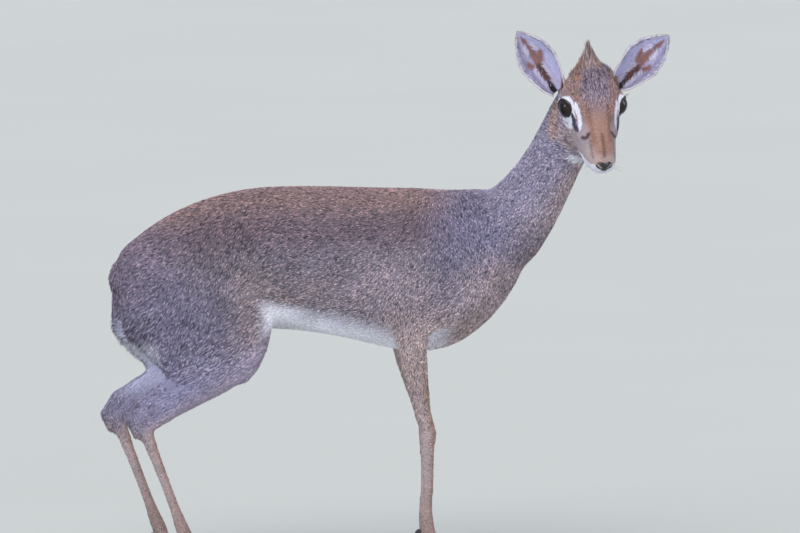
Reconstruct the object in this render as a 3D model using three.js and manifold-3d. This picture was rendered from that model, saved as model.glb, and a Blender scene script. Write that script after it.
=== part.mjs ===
// A female dik-dik, a very small antelope, standing and looking over its right shoulder side.
// Millimetres, +Z up, the body's head end towards +X and its left side towards +Y.
import * as THREE from "three";
import { mergeVertices } from "three/addons/utils/BufferGeometryUtils.js";
import Module from "manifold-3d";

const wasm = await Module();
wasm.setup();

// Driving sizes
const GAP = 0.3;
const HEAD = { eyes: [192.6, -75, 500], turn: -83.7, drop: 40, roll: 1.5 };
const EYE = { radius: 13, forward: 1, side: 23.8, up: 0.5, outward: 54, lid: 1.3 };
const EAR = {
  halfWidth: 20,
  thickness: 2.6,
  left: { root: [-25, 29, -2], reach: [-34, 59, 37], facing: [0.7, -0.1, 0.7] },
  right: { root: [-31, -29, -10], reach: [-36, -43, 51], facing: [0.62, -0.35, 0.7] },
};
const CREST = {
  root: [-14, -1.5, 20],
  reach: [-25, -4.5, 38],
  halfWidth: 13.5,
  locks: 14,
  width: 8.5,
  thickness: 1.7,
};
const TAIL = { length: 42, radius: 6.5 };
const HOOF = { length: 31, halfWidth: 4.7, height: 27, spread: 4 };
const CANNON = { fore: 110, hind: 128 };
const FETLOCK_HEIGHT = 46;

// The trunk in slices across X: place, top, bottom, half width, height of the widest place as a share.
const TRUNK = [
  [-305, 322, 312, 0, 0.5],
  [-299, 339, 284, 19, 0.55],
  [-281, 356, 266, 34, 0.55],
  [-255, 375, 257, 43, 0.55],
  [-225, 390.5, 255, 48, 0.54],
  [-190, 402.5, 257, 51, 0.52],
  [-150, 409.5, 259, 53, 0.5],
  [-110, 411, 257, 55, 0.47],
  [-60, 410, 249, 57, 0.45],
  [-20, 408.5, 239, 56, 0.45],
  [20, 407.5, 233, 52, 0.47],
  [55, 405, 239, 46, 0.5],
  [85, 405.5, 257, 39, 0.53],
  [110, 401, 283, 30, 0.55],
  [130, 382, 316, 18, 0.55],
  [139, 352, 346, 0, 0.5],
];

// One thigh in slices across Z: height, rear, front, outer side, inner side.
const THIGH = [
  [196, -214, -196, 48, 42],
  [206, -238, -168, 54, 34],
  [222, -256, -153, 58, 27],
  [242, -276, -143, 60, 20],
  [266, -295, -136, 60, 11],
  [295, -301, -136, 57.5, 6],
  [320, -298, -146, 50, 5],
  [344, -284, -164, 37, 5],
  [362, -262, -190, 25, 6],
  [370, -236, -214, 17, 13],
];

// The head in slices across its own length from the eyes: place, top, bottom, half width, widest share.
const SKULL = [
  [-43, 0, -8, 0, 0.5],
  [-40, 11, -19, 14, 0.5],
  [-31, 22, -31, 25, 0.52],
  [-19, 28, -38, 30, 0.55],
  [-6, 29, -41, 32, 0.57],
  [6, 26, -41, 31.5, 0.57],
  [16, 21.5, -39, 29, 0.54],
  [26, 17, -40.5, 25, 0.48],
  [37, 12, -40.5, 21.4, 0.43],
  [48, 8, -39, 19, 0.4],
  [59, 4.5, -36.5, 17.2, 0.41],
  [68, 0.5, -33, 15.4, 0.44],
  [75, -4.5, -29, 12.8, 0.48],
  [79.5, -9.5, -25, 8.4, 0.5],
  [81.4, -15, -18, 0, 0.5],
];

// Middle lines of the limbs on the right side, and their half sizes: share of the length, fore, back, side.
const NECK = {
  line: [
    [66, 0, 335],
    [108, 0, 364],
    [138, -3, 402],
    [158, -9, 438],
    [173, -21, 473],
    [186, -41, 502],
    [191, -60, 512],
  ],
  sizes: [
    [0, 56, 55, 38],
    [0.18, 45, 49.5, 37],
    [0.38, 33, 41.4, 31],
    [0.57, 27, 36.5, 27.5],
    [0.76, 25, 39, 25.5],
    [0.9, 25, 38, 26],
    [1, 22, 32, 23],
  ],
};
const SHOULDER = {
  line: [[50, -16, 394], [72, -26, 350], [84, -27, 300]],
  sizes: [[0, 14, 20, 8], [0.4, 29, 42, 14.5], [0.75, 31, 44, 15], [1, 24, 34, 9]],
};
const UPPER_ARM = {
  line: [[88, -22, 326], [46, -30, 290], [0, -31, 256]],
  sizes: [[0, 20, 26, 6], [0.35, 32, 46, 14.5], [0.7, 28, 44, 17], [1, 14, 26, 13]],
};
const FOREARM = {
  line: [[2, -34, 278], [8, -35, 238], [16, -33, 198], [26, -30, 146]],
  sizes: [
    [0, 16, 12, 10],
    [0.25, 19, 15, 14],
    [0.55, 12.5, 12.5, 10.5],
    [0.78, 8.8, 8.8, 8.2],
    [0.9, 9.8, 8.8, 9],
    [1, 9, 8, 8],
  ],
};
const SHANK = {
  line: [[-160, -36, 248], [-212, -41, 211], [-250, -39, 182], [-280, -36, 158]],
  sizes: [
    [0, 18, 20, 12],
    [0.25, 26, 26, 18],
    [0.5, 21, 15, 14],
    [0.75, 14, 11, 10.5],
    [0.9, 11.5, 10, 9.8],
    [1, 9, 9, 8],
  ],
};
const HEEL = {
  line: [[-208, -41, 238], [-248, -40, 207], [-282, -36.5, 183], [-287, -36, 168], [-276, -36, 146]],
  sizes: [[0, 30, 14, 11], [0.3, 30, 8, 7.5], [0.58, 22, 6.5, 6], [0.8, 12, 7, 6.5], [1, 5, 5, 5]],
};
const STATION = { fore: [26, -30], hind: [-275, -36] };

// How far the left legs stand ahead of the right ones, and how far the hind foot leans forward.
const LEFT_AHEAD = { fore: 5, hind: -20 };
const CANNON_LEAN = { fore: 0.5, hind: 21 };

const MATERIALS = {
  coat: new THREE.MeshStandardMaterial({ color: 0x8a7663, roughness: 0.9 }),
  face: new THREE.MeshStandardMaterial({ color: 0xa8764e, roughness: 0.85 }),
  leg: new THREE.MeshStandardMaterial({ color: 0xa5795a, roughness: 0.85 }),
  ear: new THREE.MeshStandardMaterial({ color: 0xb3a49c, roughness: 0.85 }),
  eye: new THREE.MeshStandardMaterial({ color: 0x160e0a, roughness: 0.05 }),
  nose: new THREE.MeshStandardMaterial({ color: 0x1b1718, roughness: 0.35 }),
  hoof: new THREE.MeshStandardMaterial({ color: 0x2a2421, roughness: 0.45 }),
};

const degrees = THREE.MathUtils.degToRad;
const vector = ([x, y, z]) => new THREE.Vector3(x, y, z);
const bent = (value, power) => Math.sign(value) * Math.abs(value) ** power;

// The values of a table at a key, on a smooth curve through its rows.
function between(rows, key) {
  let n = 1;
  while (n < rows.length - 1 && rows[n][0] < key) n += 1;
  const row = (i) => rows[THREE.MathUtils.clamp(i, 0, rows.length - 1)];
  const [before, from, to, after] = [row(n - 2), row(n - 1), row(n), row(n + 1)];
  const span = to[0] - from[0];
  const t = THREE.MathUtils.clamp((key - from[0]) / span, 0, 1);
  return from.slice(1).map((start, i) => {
    const end = to[i + 1];
    const leave = ((end - before[i + 1]) / (to[0] - before[0])) * span;
    const arrive = ((after[i + 1] - start) / (after[0] - from[0])) * span;
    return start * (1 + 2 * t) * (1 - t) ** 2 + leave * t * (1 - t) ** 2 +
      end * t * t * (3 - 2 * t) + arrive * t * t * (t - 1);
  });
}

// A geometry as a solid whose faces point out.
function solidOf(geometry) {
  geometry.deleteAttribute("normal");
  geometry.deleteAttribute("uv");
  const merged = mergeVertices(geometry, 1e-4);
  const made = (triVerts) => new wasm.Manifold(new wasm.Mesh({
    numProp: 3,
    vertProperties: new Float32Array(merged.getAttribute("position").array),
    triVerts,
  }));
  const faces = new Uint32Array(merged.index.array);
  const solid = made(faces);
  if (solid.volume() > 0) return solid;
  for (let i = 0; i < faces.length; i += 3) [faces[i + 1], faces[i + 2]] = [faces[i + 2], faces[i + 1]];
  return made(faces);
}

function geometryOf(solid) {
  const { numProp, numVert, vertProperties, triVerts } = solid.getMesh();
  const points = new Float32Array(numVert * 3);
  for (let i = 0; i < numVert; i += 1) {
    const start = i * numProp;
    points.set(vertProperties.subarray(start, start + 3), i * 3);
  }
  const geometry = new THREE.BufferGeometry();
  geometry.setAttribute("position", new THREE.BufferAttribute(points, 3));
  geometry.setIndex(new THREE.BufferAttribute(new Uint32Array(triVerts), 1));
  geometry.computeVertexNormals();
  return geometry;
}

const joined = (solids) => solids.reduce((whole, solid) => whole.add(solid));
const moved = (solid, matrix) => solid.transform(matrix.elements);
const mirrored = (solid) => solid.mirror([0, 1, 0]);

// The largest closed surface of a solid.
function largest(solid) {
  return solid.decompose().reduce((best, piece) => (piece.volume() > best.volume() ? piece : best));
}

// A closed form on a sphere's mesh: place gives the point at a turn round it and a share of its length.
function formed(around, along, place) {
  const sphere = new THREE.SphereGeometry(1, around, along);
  const point = sphere.getAttribute("position");
  const share = sphere.getAttribute("uv");
  for (let i = 0; i < point.count; i += 1) {
    const p = place(share.getX(i) * 2 * Math.PI, 1 - share.getY(i));
    point.setXYZ(i, p.x, p.y, p.z);
  }
  return solidOf(sphere);
}

// A form in upright slices across X, as wide as its table says, fuller or sharper by its powers.
function sliced(rows, around, along, { widthPower, topPower, bottomPower, grow = 0 }) {
  const first = rows[0][0] - grow;
  const last = rows[rows.length - 1][0] + grow;
  return formed(around, along, (turn, way) => {
    const even = 0.72 * way + 0.28 * (0.5 - 0.5 * Math.cos(Math.PI * way));
    const x = THREE.MathUtils.lerp(first, last, even);
    const [top, bottom, halfWidth, share] = between(rows, x);
    const middle = bottom + (top - bottom) * share;
    const closing = way === 0 || way === 1 ? 0 : 1;
    const up = Math.sin(turn);
    const reach = up > 0 ? top + grow - middle : middle - bottom + grow;
    return new THREE.Vector3(
      x,
      closing * (halfWidth + grow) * bent(Math.cos(turn), widthPower),
      middle + closing * reach * bent(up, up > 0 ? topPower : bottomPower),
    );
  });
}

// A form round a middle line, its section turned so that fore stays nearest to a given direction.
function limb({ line, sizes }, around, along, foreAt = () => new THREE.Vector3(1, 0, 0), grow = 0) {
  const curve = new THREE.CatmullRomCurve3(line.map(vector), false, "centripetal");
  return formed(around, along, (turn, share) => {
    const way = 0.5 * share + 0.25 * (1 - Math.cos(Math.PI * share));
    const tangent = curve.getTangentAt(way);
    const middle = curve.getPointAt(way);
    const fore = foreAt(way);
    fore.addScaledVector(tangent, -fore.dot(tangent)).normalize();
    const side = new THREE.Vector3().crossVectors(tangent, fore);
    const [ahead, behind, across] = between(sizes, way).map((size) => size + grow);
    const round = Math.sqrt(Math.max(0, 1 - (2 * way - 1) ** 12));
    const c = Math.cos(turn);
    return middle
      .addScaledVector(fore, round * c * (c > 0 ? ahead : behind))
      .addScaledVector(side, round * Math.sin(turn) * across);
  });
}

// The space on one side of every plane of a list, moved out by grow. A plane is its normal and a point on it.
function region(planes, grow = 0) {
  const all = solidOf(new THREE.BoxGeometry(2000, 2000, 2000));
  return planes.reduce((space, { normal, point }) => {
    const unit = vector(normal).normalize();
    return space.trimByPlane(unit.toArray(), unit.dot(vector(point)) - grow);
  }, all);
}

// A solid parted by a region: what lies in it, and what lies a gap outside it.
function parted(solid, planes) {
  return [solid.intersect(region(planes)), solid.subtract(region(planes, GAP))];
}

const headFrame = new THREE.Matrix4().compose(
  vector(HEAD.eyes),
  new THREE.Quaternion().setFromEuler(
    new THREE.Euler(degrees(HEAD.roll), degrees(HEAD.drop), degrees(HEAD.turn), "ZYX")),
  new THREE.Vector3(1, 1, 1),
);
const fromHead = (point) => vector(point).applyMatrix4(headFrame).toArray();
const turnedByHead = (direction) => vector(direction).transformDirection(headFrame).toArray();

// Body

const TRUNK_ROUND = { widthPower: 0.9, topPower: 0.86, bottomPower: 0.92 };
const trunk = (grow = 0) => sliced(TRUNK, 28, 26, { ...TRUNK_ROUND, grow });

// The right thigh, a flat deep muscle, in level slices.
function thigh(grow = 0) {
  const first = THIGH[0][0] - grow;
  const last = THIGH[THIGH.length - 1][0] + grow;
  return formed(20, 13, (turn, way) => {
    const z = THREE.MathUtils.lerp(first, last, way);
    const [rear, front, outer, inner] = between(THIGH, z);
    const closing = way === 0 || way === 1 ? 0 : 1;
    return new THREE.Vector3(
      (front + rear) / 2 + closing * ((front - rear) / 2 + grow) * bent(Math.cos(turn), 0.92),
      -(outer + inner) / 2 - closing * ((outer - inner) / 2 + grow) * bent(Math.sin(turn), 0.9),
      z,
    );
  });
}

// The nape turns from above the shoulders to the back of the turned head.
function neck(grow = 0) {
  const atShoulders = new THREE.Vector3(-1, 0, 0.6);
  const atHead = new THREE.Vector3(-0.3, 0.9, 0.5);
  const nape = (way) => new THREE.Vector3().lerpVectors(atShoulders, atHead, way ** 1.5);
  return limb(NECK, 24, 14, nape, grow);
}

function tail() {
  const { length, radius } = TAIL;
  const shape = {
    line: [[-284, 0, 338], [-298, 0, 330], [-305, 0, 316], [-305, 0, 338 - length]],
    sizes: [
      [0, radius, radius, radius + 1],
      [0.4, radius - 1, radius - 1, radius],
      [0.8, 3.2, 3.2, 4],
      [1, 1.4, 1.4, 1.6],
    ],
  };
  return limb(shape, 10, 8);
}

// A foot from the knee or hock down: the cannon, the fetlock and the pastern, on which the hooves stand.
function foot([x, y, z], length, lean, half) {
  const run = [Math.sin(degrees(lean)), -Math.cos(degrees(lean))];
  const on = (far) => [x + far * run[0], y * (1 - 0.03 * (far / length)), z + far * run[1]];
  const fetlock = on(length);
  const coronet = [fetlock[0] + 14, fetlock[1], fetlock[2] - 29];
  const shape = {
    line: [on(-10), on(0), on(length / 2), fetlock, coronet, [coronet[0] + 6, coronet[1], coronet[2] - 12]],
    sizes: [
      [0, 3, 3, 2],
      [0.06, 4, 3.6, 2.8],
      [0.2, 1, 1.4, 0.8],
      [0.4, -0.2, 0.4, 0],
      [0.6, 0, 0.8, 0.2],
      [0.72, 2, 3.2, 2],
      [0.82, 1, 1.4, 2],
      [0.92, 2.6, 2.8, 3.6],
      [1, 1.5, 1, 3],
    ].map(([way, ...more]) => [way, ...more.map((size) => half + size)]),
  };
  return { solid: limb(shape, 12, 16), coronet, fetlock };
}

// One claw of a hoof, its flat sole on the floor and its toe towards +X.
function claw() {
  const { length, halfWidth, height } = HOOF;
  return formed(10, 8, (turn, way) => {
    const x = length * (way - 0.5);
    const tall = height * Math.min(1, (1.02 - way) / 0.55);
    const wide = halfWidth * Math.sqrt(Math.max(0, 1 - (2 * way - 1) ** 6)) * (1 - 0.2 * way);
    const closing = way === 0 || way === 1 ? 0 : 1;
    return new THREE.Vector3(
      x,
      wide * bent(Math.cos(turn), 0.7),
      closing * Math.max(0, tall * (0.42 + 0.62 * bent(Math.sin(turn), 0.8))),
    );
  });
}

// Head, in its own frame: +X to the nose, +Y to its left, +Z to the crown, from between the eyes

const SKULL_ROUND = { widthPower: 0.86, topPower: 0.9, bottomPower: 0.8 };
const skull = (grow = 0) => sliced(SKULL, 26, 22, { ...SKULL_ROUND, grow });

// The frame of an eye: +Z looks out, +X towards its inner corner.
function eyeFrame(side) {
  const { forward, up, outward } = EYE;
  const [ahead, aside] = [Math.cos(degrees(outward)), Math.sin(degrees(outward))];
  const look = new THREE.Vector3(ahead, side * aside, 0.06).normalize();
  const inner = new THREE.Vector3(aside, -side * ahead, -0.65);
  inner.addScaledVector(look, -inner.dot(look)).normalize();
  const across = new THREE.Vector3().crossVectors(look, inner);
  return new THREE.Matrix4().makeBasis(inner, across, look).setPosition(forward, side * EYE.side, up);
}

const eyeball = (grow = 0) => solidOf(new THREE.SphereGeometry(EYE.radius + grow, 16, 10));

// The opening between the lids, pointed at both corners.
function eyeOpening() {
  const { radius } = EYE;
  const almond = new THREE.Shape();
  almond.moveTo(-radius * 0.92, 0);
  almond.bezierCurveTo(-radius * 0.7, radius * 0.95, radius * 0.35, radius * 1.1, radius * 0.94, 0);
  almond.bezierCurveTo(radius * 0.35, -radius * 0.98, -radius * 0.7, -radius * 0.9, -radius * 0.92, 0);
  const drawn = { depth: 2 * radius, curveSegments: 6, bevelEnabled: false };
  return solidOf(new THREE.ExtrudeGeometry(almond, drawn));
}

// The lids stand a little proud of the face round the eye.
function withLids(head) {
  return [1, -1].reduce((made, side) => {
    const frame = eyeFrame(side);
    const lids = moved(eyeball(EYE.lid + GAP), frame);
    const opening = moved(eyeOpening().translate([0, 0, EYE.radius * 0.2]), frame);
    return made.add(lids).subtract(opening).subtract(moved(eyeball(GAP), frame));
  }, head);
}

// The slit of the scent gland below the inner corner of each eye, in a low swelling.
function withGlands(head) {
  return [1, -1].reduce((made, side) => {
    const place = new THREE.Matrix4().makeRotationY(degrees(30)).setPosition(29, side * 21.2, -7);
    const swelling = formed(10, 6, (turn, way) => new THREE.Vector3(
      -7 * Math.cos(Math.PI * way),
      3.2 * Math.sin(Math.PI * way) * Math.cos(turn),
      4 * Math.sin(Math.PI * way) * Math.sin(turn),
    ));
    const slit = solidOf(new THREE.BoxGeometry(7, 5, 1.3)).translate([0, side * 4.2, 0]);
    return made.add(moved(swelling, place)).subtract(moved(slit, place));
  }, head);
}

// A band of the mouth's line, cut only skin deep.
function mouth() {
  const rise = [[84, -21.5], [74, -23], [64, -24.4], [54, -24.6], [45, -22.5]];
  const width = 0.55;
  const curve = new THREE.SplineCurve(rise.map(([x, z]) => new THREE.Vector2(x, z)));
  const line = curve.getPoints(8);
  const band = new THREE.Shape([
    ...line.map((p) => new THREE.Vector2(p.x, p.y + width)),
    ...line.reverse().map((p) => new THREE.Vector2(p.x, p.y - width)),
  ]);
  const sheet = new THREE.ExtrudeGeometry(band, { depth: 60, bevelEnabled: false });
  sheet.translate(0, 0, -30).rotateX(Math.PI / 2);
  return solidOf(sheet).subtract(skull(-1.6));
}

// The bare nose: a small pad on the tip, with its two slanting nostrils.
const nosePad = (grow = 0) => formed(16, 8, (turn, way) => new THREE.Vector3(
  76 + (4.8 + grow) * Math.sin(Math.PI * way) * Math.cos(turn),
  -(8.2 + grow) * Math.cos(Math.PI * way),
  -14.8 + (4.6 + grow) * Math.sin(Math.PI * way) * Math.sin(turn),
));

function nostrils() {
  return joined([1, -1].map((side) => {
    const hole = formed(8, 6, (turn, way) => new THREE.Vector3(
      3.4 * Math.sin(Math.PI * way) * Math.cos(turn),
      -3.1 * Math.cos(Math.PI * way),
      1.5 * Math.sin(Math.PI * way) * Math.sin(turn),
    ));
    const frame = new THREE.Matrix4().makeRotationX(side * degrees(32)).setPosition(80.4, side * 4.3, -14);
    return moved(hole, frame);
  }));
}

// A seeded draw between 0 and 1.
function draws(seed) {
  let state = seed;
  return () => {
    state = (state * 16807) % 2147483647;
    return state / 2147483647;
  };
}

// The crest: a core that flares into the crown, and flat pointed locks that lean together round it.
function crest() {
  const { halfWidth, locks, width, thickness } = CREST;
  const draw = draws(7);
  const root = vector(CREST.root);
  const reach = vector(CREST.reach);
  const up = (share) => root.clone().addScaledVector(reach, share);
  const cone = {
    line: [up(-0.25).toArray(), up(0.115).toArray(), up(0.48).toArray()],
    sizes: [
      [0, 0.8, 0.8, 1.75], [0.34, 0.82, 0.82, 1.9], [0.62, 0.76, 0.76, 1.62], [0.75, 0.66, 0.66, 1.25],
      [0.87, 0.54, 0.54, 0.92], [1, 0.3, 0.3, 0.35],
    ]
      .map(([way, ...shares]) => [way, ...shares.map((share) => share * halfWidth)]),
  };
  const made = [limb(cone, 14, 7)];
  for (let n = 0; n < locks; n += 1) {
    const ring = n === 0 ? 0 : 0.55 + 0.45 * (n % 2);
    const angle = n * 2.399;
    const out = new THREE.Vector3(Math.cos(angle), Math.sin(angle), 0.25 * Math.cos(angle));
    const long = 1 - 0.3 * ring * (0.4 + 0.6 * draw());
    const start = up(0).addScaledVector(out, ring * halfWidth);
    const end = up(long).addScaledVector(out, 2.4 * ring + draw() - 0.5);
    const middle = start.clone().lerp(end, 0.5).addScaledVector(out, 0.8 * ring);
    const lock = {
      line: [start.toArray(), middle.toArray(), end.toArray()],
      sizes: [
        [0, thickness, thickness, width * 0.5],
        [0.5, thickness * 0.7, thickness * 0.7, width * 0.42],
        [0.85, 0.5, 0.5, width * 0.2],
        [1, 0.25, 0.25, 0.3],
      ],
    };
    made.push(limb(lock, 6, 5, () => out.clone()));
  }
  return joined(made);
}

// An ear as a leaf-shaped cup: its sides curl forward round the root and open towards the tip.
function ear(side) {
  const root = vector(EAR[side].root);
  const reach = vector(EAR[side].reach);
  const up = reach.clone().normalize();
  const front = vector(EAR[side].facing);
  front.addScaledVector(up, -front.dot(up)).normalize();
  const across = new THREE.Vector3().crossVectors(up, front);
  const leaf = [
    [0, 0.36, 1.9],
    [0.12, 0.6, 1.7],
    [0.3, 0.84, 1.2],
    [0.5, 1, 0.85],
    [0.7, 0.86, 0.65],
    [0.88, 0.47, 0.5],
    [0.97, 0.18, 0.45],
    [1, 0.05, 0.4],
  ];
  return formed(22, 14, (turn, way) => {
    const [wide, curl] = between(leaf, way);
    const closing = way === 0 || way === 1 ? 0 : 1;
    const radius = (wide * EAR.halfWidth) / Math.sin(Math.min(curl, Math.PI / 2));
    const across01 = Math.cos(turn) * closing;
    const thick = (EAR.thickness / 2) * Math.sin(turn) * closing * (1 - 0.4 * way);
    const angle = across01 * curl;
    const r = radius - thick;
    return root.clone()
      .addScaledVector(reach, way)
      .addScaledVector(across, r * Math.sin(angle))
      .addScaledVector(front, radius - r * Math.cos(angle) - 5 * Math.sin(Math.PI * way));
  });
}

// Assembly

// Lengths across are given for the right side, and change sign on the left.
const SIDES = { right: 1, left: -1 };
const AHEAD = {
  fore: { right: 0, left: LEFT_AHEAD.fore },
  hind: { right: 0, left: LEFT_AHEAD.hind },
};

// The heights between which a pair of legs is drawn ahead, from none to all of it.
const DRAWN = { fore: [260, 156], hind: [300, 165] };

const RIGHT = {
  hind: [thigh(), limb(SHANK, 16, 12), limb(HEEL, 10, 8)],
  fore: [limb(FOREARM, 14, 12), limb(UPPER_ARM, 14, 8), limb(SHOULDER, 14, 8)],
};

// A limb of the right side as it stands on a side: mirrored, and drawn ahead more the lower it is.
function stood(solid, side, pair) {
  const [from, to] = DRAWN[pair];
  const placed = side === "left" ? mirrored(solid) : solid;
  return placed.warp((point) => {
    const share = THREE.MathUtils.clamp((from - point[2]) / (from - to), 0, 1);
    point[0] += AHEAD[pair][side] * share;
  });
}

const feet = {};
const legs = {};
for (const side of Object.keys(SIDES)) {
  const placedFoot = (pair, half) => {
    const [along, across] = STATION[pair];
    const cannon = CANNON[pair];
    const lean = CANNON_LEAN[pair];
    const height = FETLOCK_HEIGHT + cannon * (pair === "hind" ? Math.cos(degrees(lean)) : 1);
    return foot([along + AHEAD[pair][side], across * SIDES[side], height], cannon, lean, half);
  };
  feet[side] = { fore: placedFoot("fore", 6.2), hind: placedFoot("hind", 5.9) };
  const limbs = ["hind", "fore"].flatMap((pair) => RIGHT[pair].map((solid) => stood(solid, side, pair)));
  legs[side] = joined([...limbs, feet[side].fore.solid, feet[side].hind.solid]);
}

const face = joined([withGlands(withLids(skull())), crest()]).subtract(mouth()).subtract(nosePad(GAP));
const whole = joined([trunk(), neck(), moved(face, headFrame), legs.right, legs.left]);

// The planes where the body is parted
const HEAD_SEAM = [{ normal: turnedByHead([0.83, 0, 0.55]), point: fromHead([-40, 0, 10]) }];
const NECK_SEAM = [{ normal: [0.945, 0, 0.327], point: [92, 0, 406] }];
function legSeams(side) {
  const ownSide = { normal: [0, -SIDES[side], 0], point: [0, -SIDES[side] * GAP * 0.5, 0] };
  const hind = AHEAD.hind[side];
  return {
    thigh: [
      ownSide,
      { normal: [-0.33, 0, -0.944], point: [-140, 0, 280] },
      { normal: [-1, 0, 0], point: [-136, 0, 0] },
    ],
    shank: [ownSide, { normal: [-0.62, 0, -0.785], point: [-196 + hind * 0.5, 0, 212] }],
    hindFoot: [ownSide, { normal: [0.25, 0, -0.968], point: [-275 + hind, 0, 163] }],
    forearm: [
      ownSide,
      { normal: [0, 0, -1], point: [0, 0, 229] },
      { normal: [1, 0, 0], point: [-60, 0, 0] },
    ],
    foreFoot: [ownSide, { normal: [0, 0, -1], point: [0, 0, 158] }],
  };
}

const nodes = [];
const add = (name, solid, material) => nodes.push({ name, solid: largest(solid), material });

let rest = whole;
let headPart;
let neckPart;
[headPart, rest] = parted(rest, [...HEAD_SEAM, { normal: [0, 0, 1], point: [0, 0, 400] }]);
[neckPart, rest] = parted(rest, NECK_SEAM);

for (const name of Object.keys(SIDES)) {
  const seams = legSeams(name);
  let leg;
  [leg, rest] = parted(rest, seams.thigh);
  let shank;
  let hindFoot;
  let thighPart;
  [shank, thighPart] = parted(leg, seams.shank);
  [hindFoot, shank] = parted(shank, seams.hindFoot);
  let foreLeg;
  [foreLeg, rest] = parted(rest, seams.forearm);
  let foreFoot;
  [foreFoot, foreLeg] = parted(foreLeg, seams.foreFoot);
  add(`thigh_${name}`, thighPart, "coat");
  add(`shank_${name}`, shank, "coat");
  add(`forearm_${name}`, foreLeg, "leg");
  const shod = { fore: foreFoot, hind: hindFoot };
  for (const pair of ["fore", "hind"]) {
    const { coronet, fetlock } = feet[name][pair];
    const seam = { normal: [0.42, 0, -0.907], point: [coronet[0], 0, coronet[2] + 2] };
    const outward = SIDES[name] * -1;
    for (const [claws, place] of [["outer", outward], ["inner", -outward]]) {
      const stand = new THREE.Matrix4().makeRotationZ(degrees(place * HOOF.spread))
        .setPosition(coronet[0] + 7, coronet[1] + place * (HOOF.halfWidth + 0.5), 0);
      const hoof = moved(claw(), stand).intersect(region([seam]));
      add(`hoof_${pair}_${name}_${claws}`, hoof, "hoof");
      const spur = {
        line: [
          [fetlock[0] - 5, coronet[1] + place * 4.6, fetlock[2] - 5],
          [fetlock[0] - 9.5, coronet[1] + place * 5.6, fetlock[2] - 9],
          [fetlock[0] - 11.5, coronet[1] + place * 6, fetlock[2] - 15],
        ],
        sizes: [[0, 3, 3, 3], [0.5, 3, 3, 2.8], [1, 1.1, 1.1, 1.1]],
      };
      shod[pair] = shod[pair].subtract(limb(spur, 6, 5, undefined, GAP));
      add(`dewclaw_${pair}_${name}_${claws}`, limb(spur, 6, 5), "hoof");
    }
    const above = region([seam], GAP);
    add(`${pair}_foot_${name}`, shod[pair].subtract(above), "leg");
  }
}

add("head", headPart, "face");
add("nose", moved(nosePad().subtract(nostrils()), headFrame), "nose");
for (const name of Object.keys(SIDES)) {
  const ball = moved(moved(eyeball(), eyeFrame(-SIDES[name])), headFrame);
  add(`eye_${name}`, ball, "eye");
  const cup = moved(ear(name), headFrame).subtract(moved(skull(GAP), headFrame)).subtract(neck(GAP));
  add(`ear_${name}`, cup, "ear");
}
add("torso", rest, "coat");
add("neck", neckPart, "coat");
add("tail", tail().subtract(trunk(GAP)).subtract(thigh(GAP)).subtract(mirrored(thigh(GAP))), "coat");

const group = new THREE.Group();
for (const { name, solid, material } of nodes) {
  const mesh = new THREE.Mesh(geometryOf(solid), MATERIALS[material]);
  mesh.name = name;
  group.add(mesh);
}

// The origin is on the floor under the middle of the whole.
const extent = new THREE.Box3().setFromObject(group);
const middle = extent.getCenter(new THREE.Vector3());
group.position.set(-middle.x, -middle.y, -extent.min.z);
group.updateMatrixWorld(true);

export default group;
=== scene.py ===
from math import cos, pi, radians, sin

import bmesh
import bpy
import numpy as np
from mathutils import Matrix, Vector
from mathutils.bvhtree import BVHTree


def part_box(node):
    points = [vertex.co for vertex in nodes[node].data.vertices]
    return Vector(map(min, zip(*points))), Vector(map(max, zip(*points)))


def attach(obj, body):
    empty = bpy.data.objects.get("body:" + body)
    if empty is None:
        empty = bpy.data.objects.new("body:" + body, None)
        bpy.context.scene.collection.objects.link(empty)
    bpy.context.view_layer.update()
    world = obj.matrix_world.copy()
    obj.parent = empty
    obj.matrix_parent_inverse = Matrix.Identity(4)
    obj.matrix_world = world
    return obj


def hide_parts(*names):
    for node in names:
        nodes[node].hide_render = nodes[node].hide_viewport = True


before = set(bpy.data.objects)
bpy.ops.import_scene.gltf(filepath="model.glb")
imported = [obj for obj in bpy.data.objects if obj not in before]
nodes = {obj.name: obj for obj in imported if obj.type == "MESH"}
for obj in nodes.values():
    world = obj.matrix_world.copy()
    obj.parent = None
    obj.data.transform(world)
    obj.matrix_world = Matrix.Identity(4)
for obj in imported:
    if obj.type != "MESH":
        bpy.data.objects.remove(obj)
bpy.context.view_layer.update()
MM = 0.001
draw = np.random.default_rng(11)

# ---------------------------------------------------------------- named sizes, in millimetres

FLESH = ["head", "neck", "torso", "tail"] + [
    f"{part}_{side}" for side in ("right", "left")
    for part in ("thigh", "shank", "hind_foot", "forearm", "fore_foot")]
SIDES = (("left", 1), ("right", -1))
MIDDLE = 34.6                       # the body's middle plane, across
SKIN_GRAIN = 2.5                    # the skin's faces on the body; the head's are finer
LAYOUT_GRAIN = 7.0                  # the faces of the coarse copy that is laid out flat
EYE = {"radius": 13.0, "outward": 57.5, "raised": 0.05, "slant": -0.58, "place": (3.0, 23.2, 0.6)}
OPENING = {"inner": 12.1, "outer": 11.3, "upper": 10.8, "lower": 10.6, "roundness": 1.75}
NOSE_PAD = {"place": (76.4, 0, -14.9), "size": (5.2, 8.9, 5.3), "bare": (7, 9.8, 6.6)}
MOUTH = [(74, 12, -23), (60, 16, -24.5), (48, 18, -23)]
EAR_WIDTH = 20.0
EARS = {
    "left": {"root": (-25, 29, -2), "reach": (-34, 59, 37), "facing": (0.7, -0.1, 0.7)},
    "right": {"root": (-31, -29, -10), "reach": (-36, -43, 51), "facing": (0.62, -0.35, 0.7)},
}
CREST = {"root": (-14, -1.5, 21), "reach": (-25, -4.5, 38), "half_width": 13.5}
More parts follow.
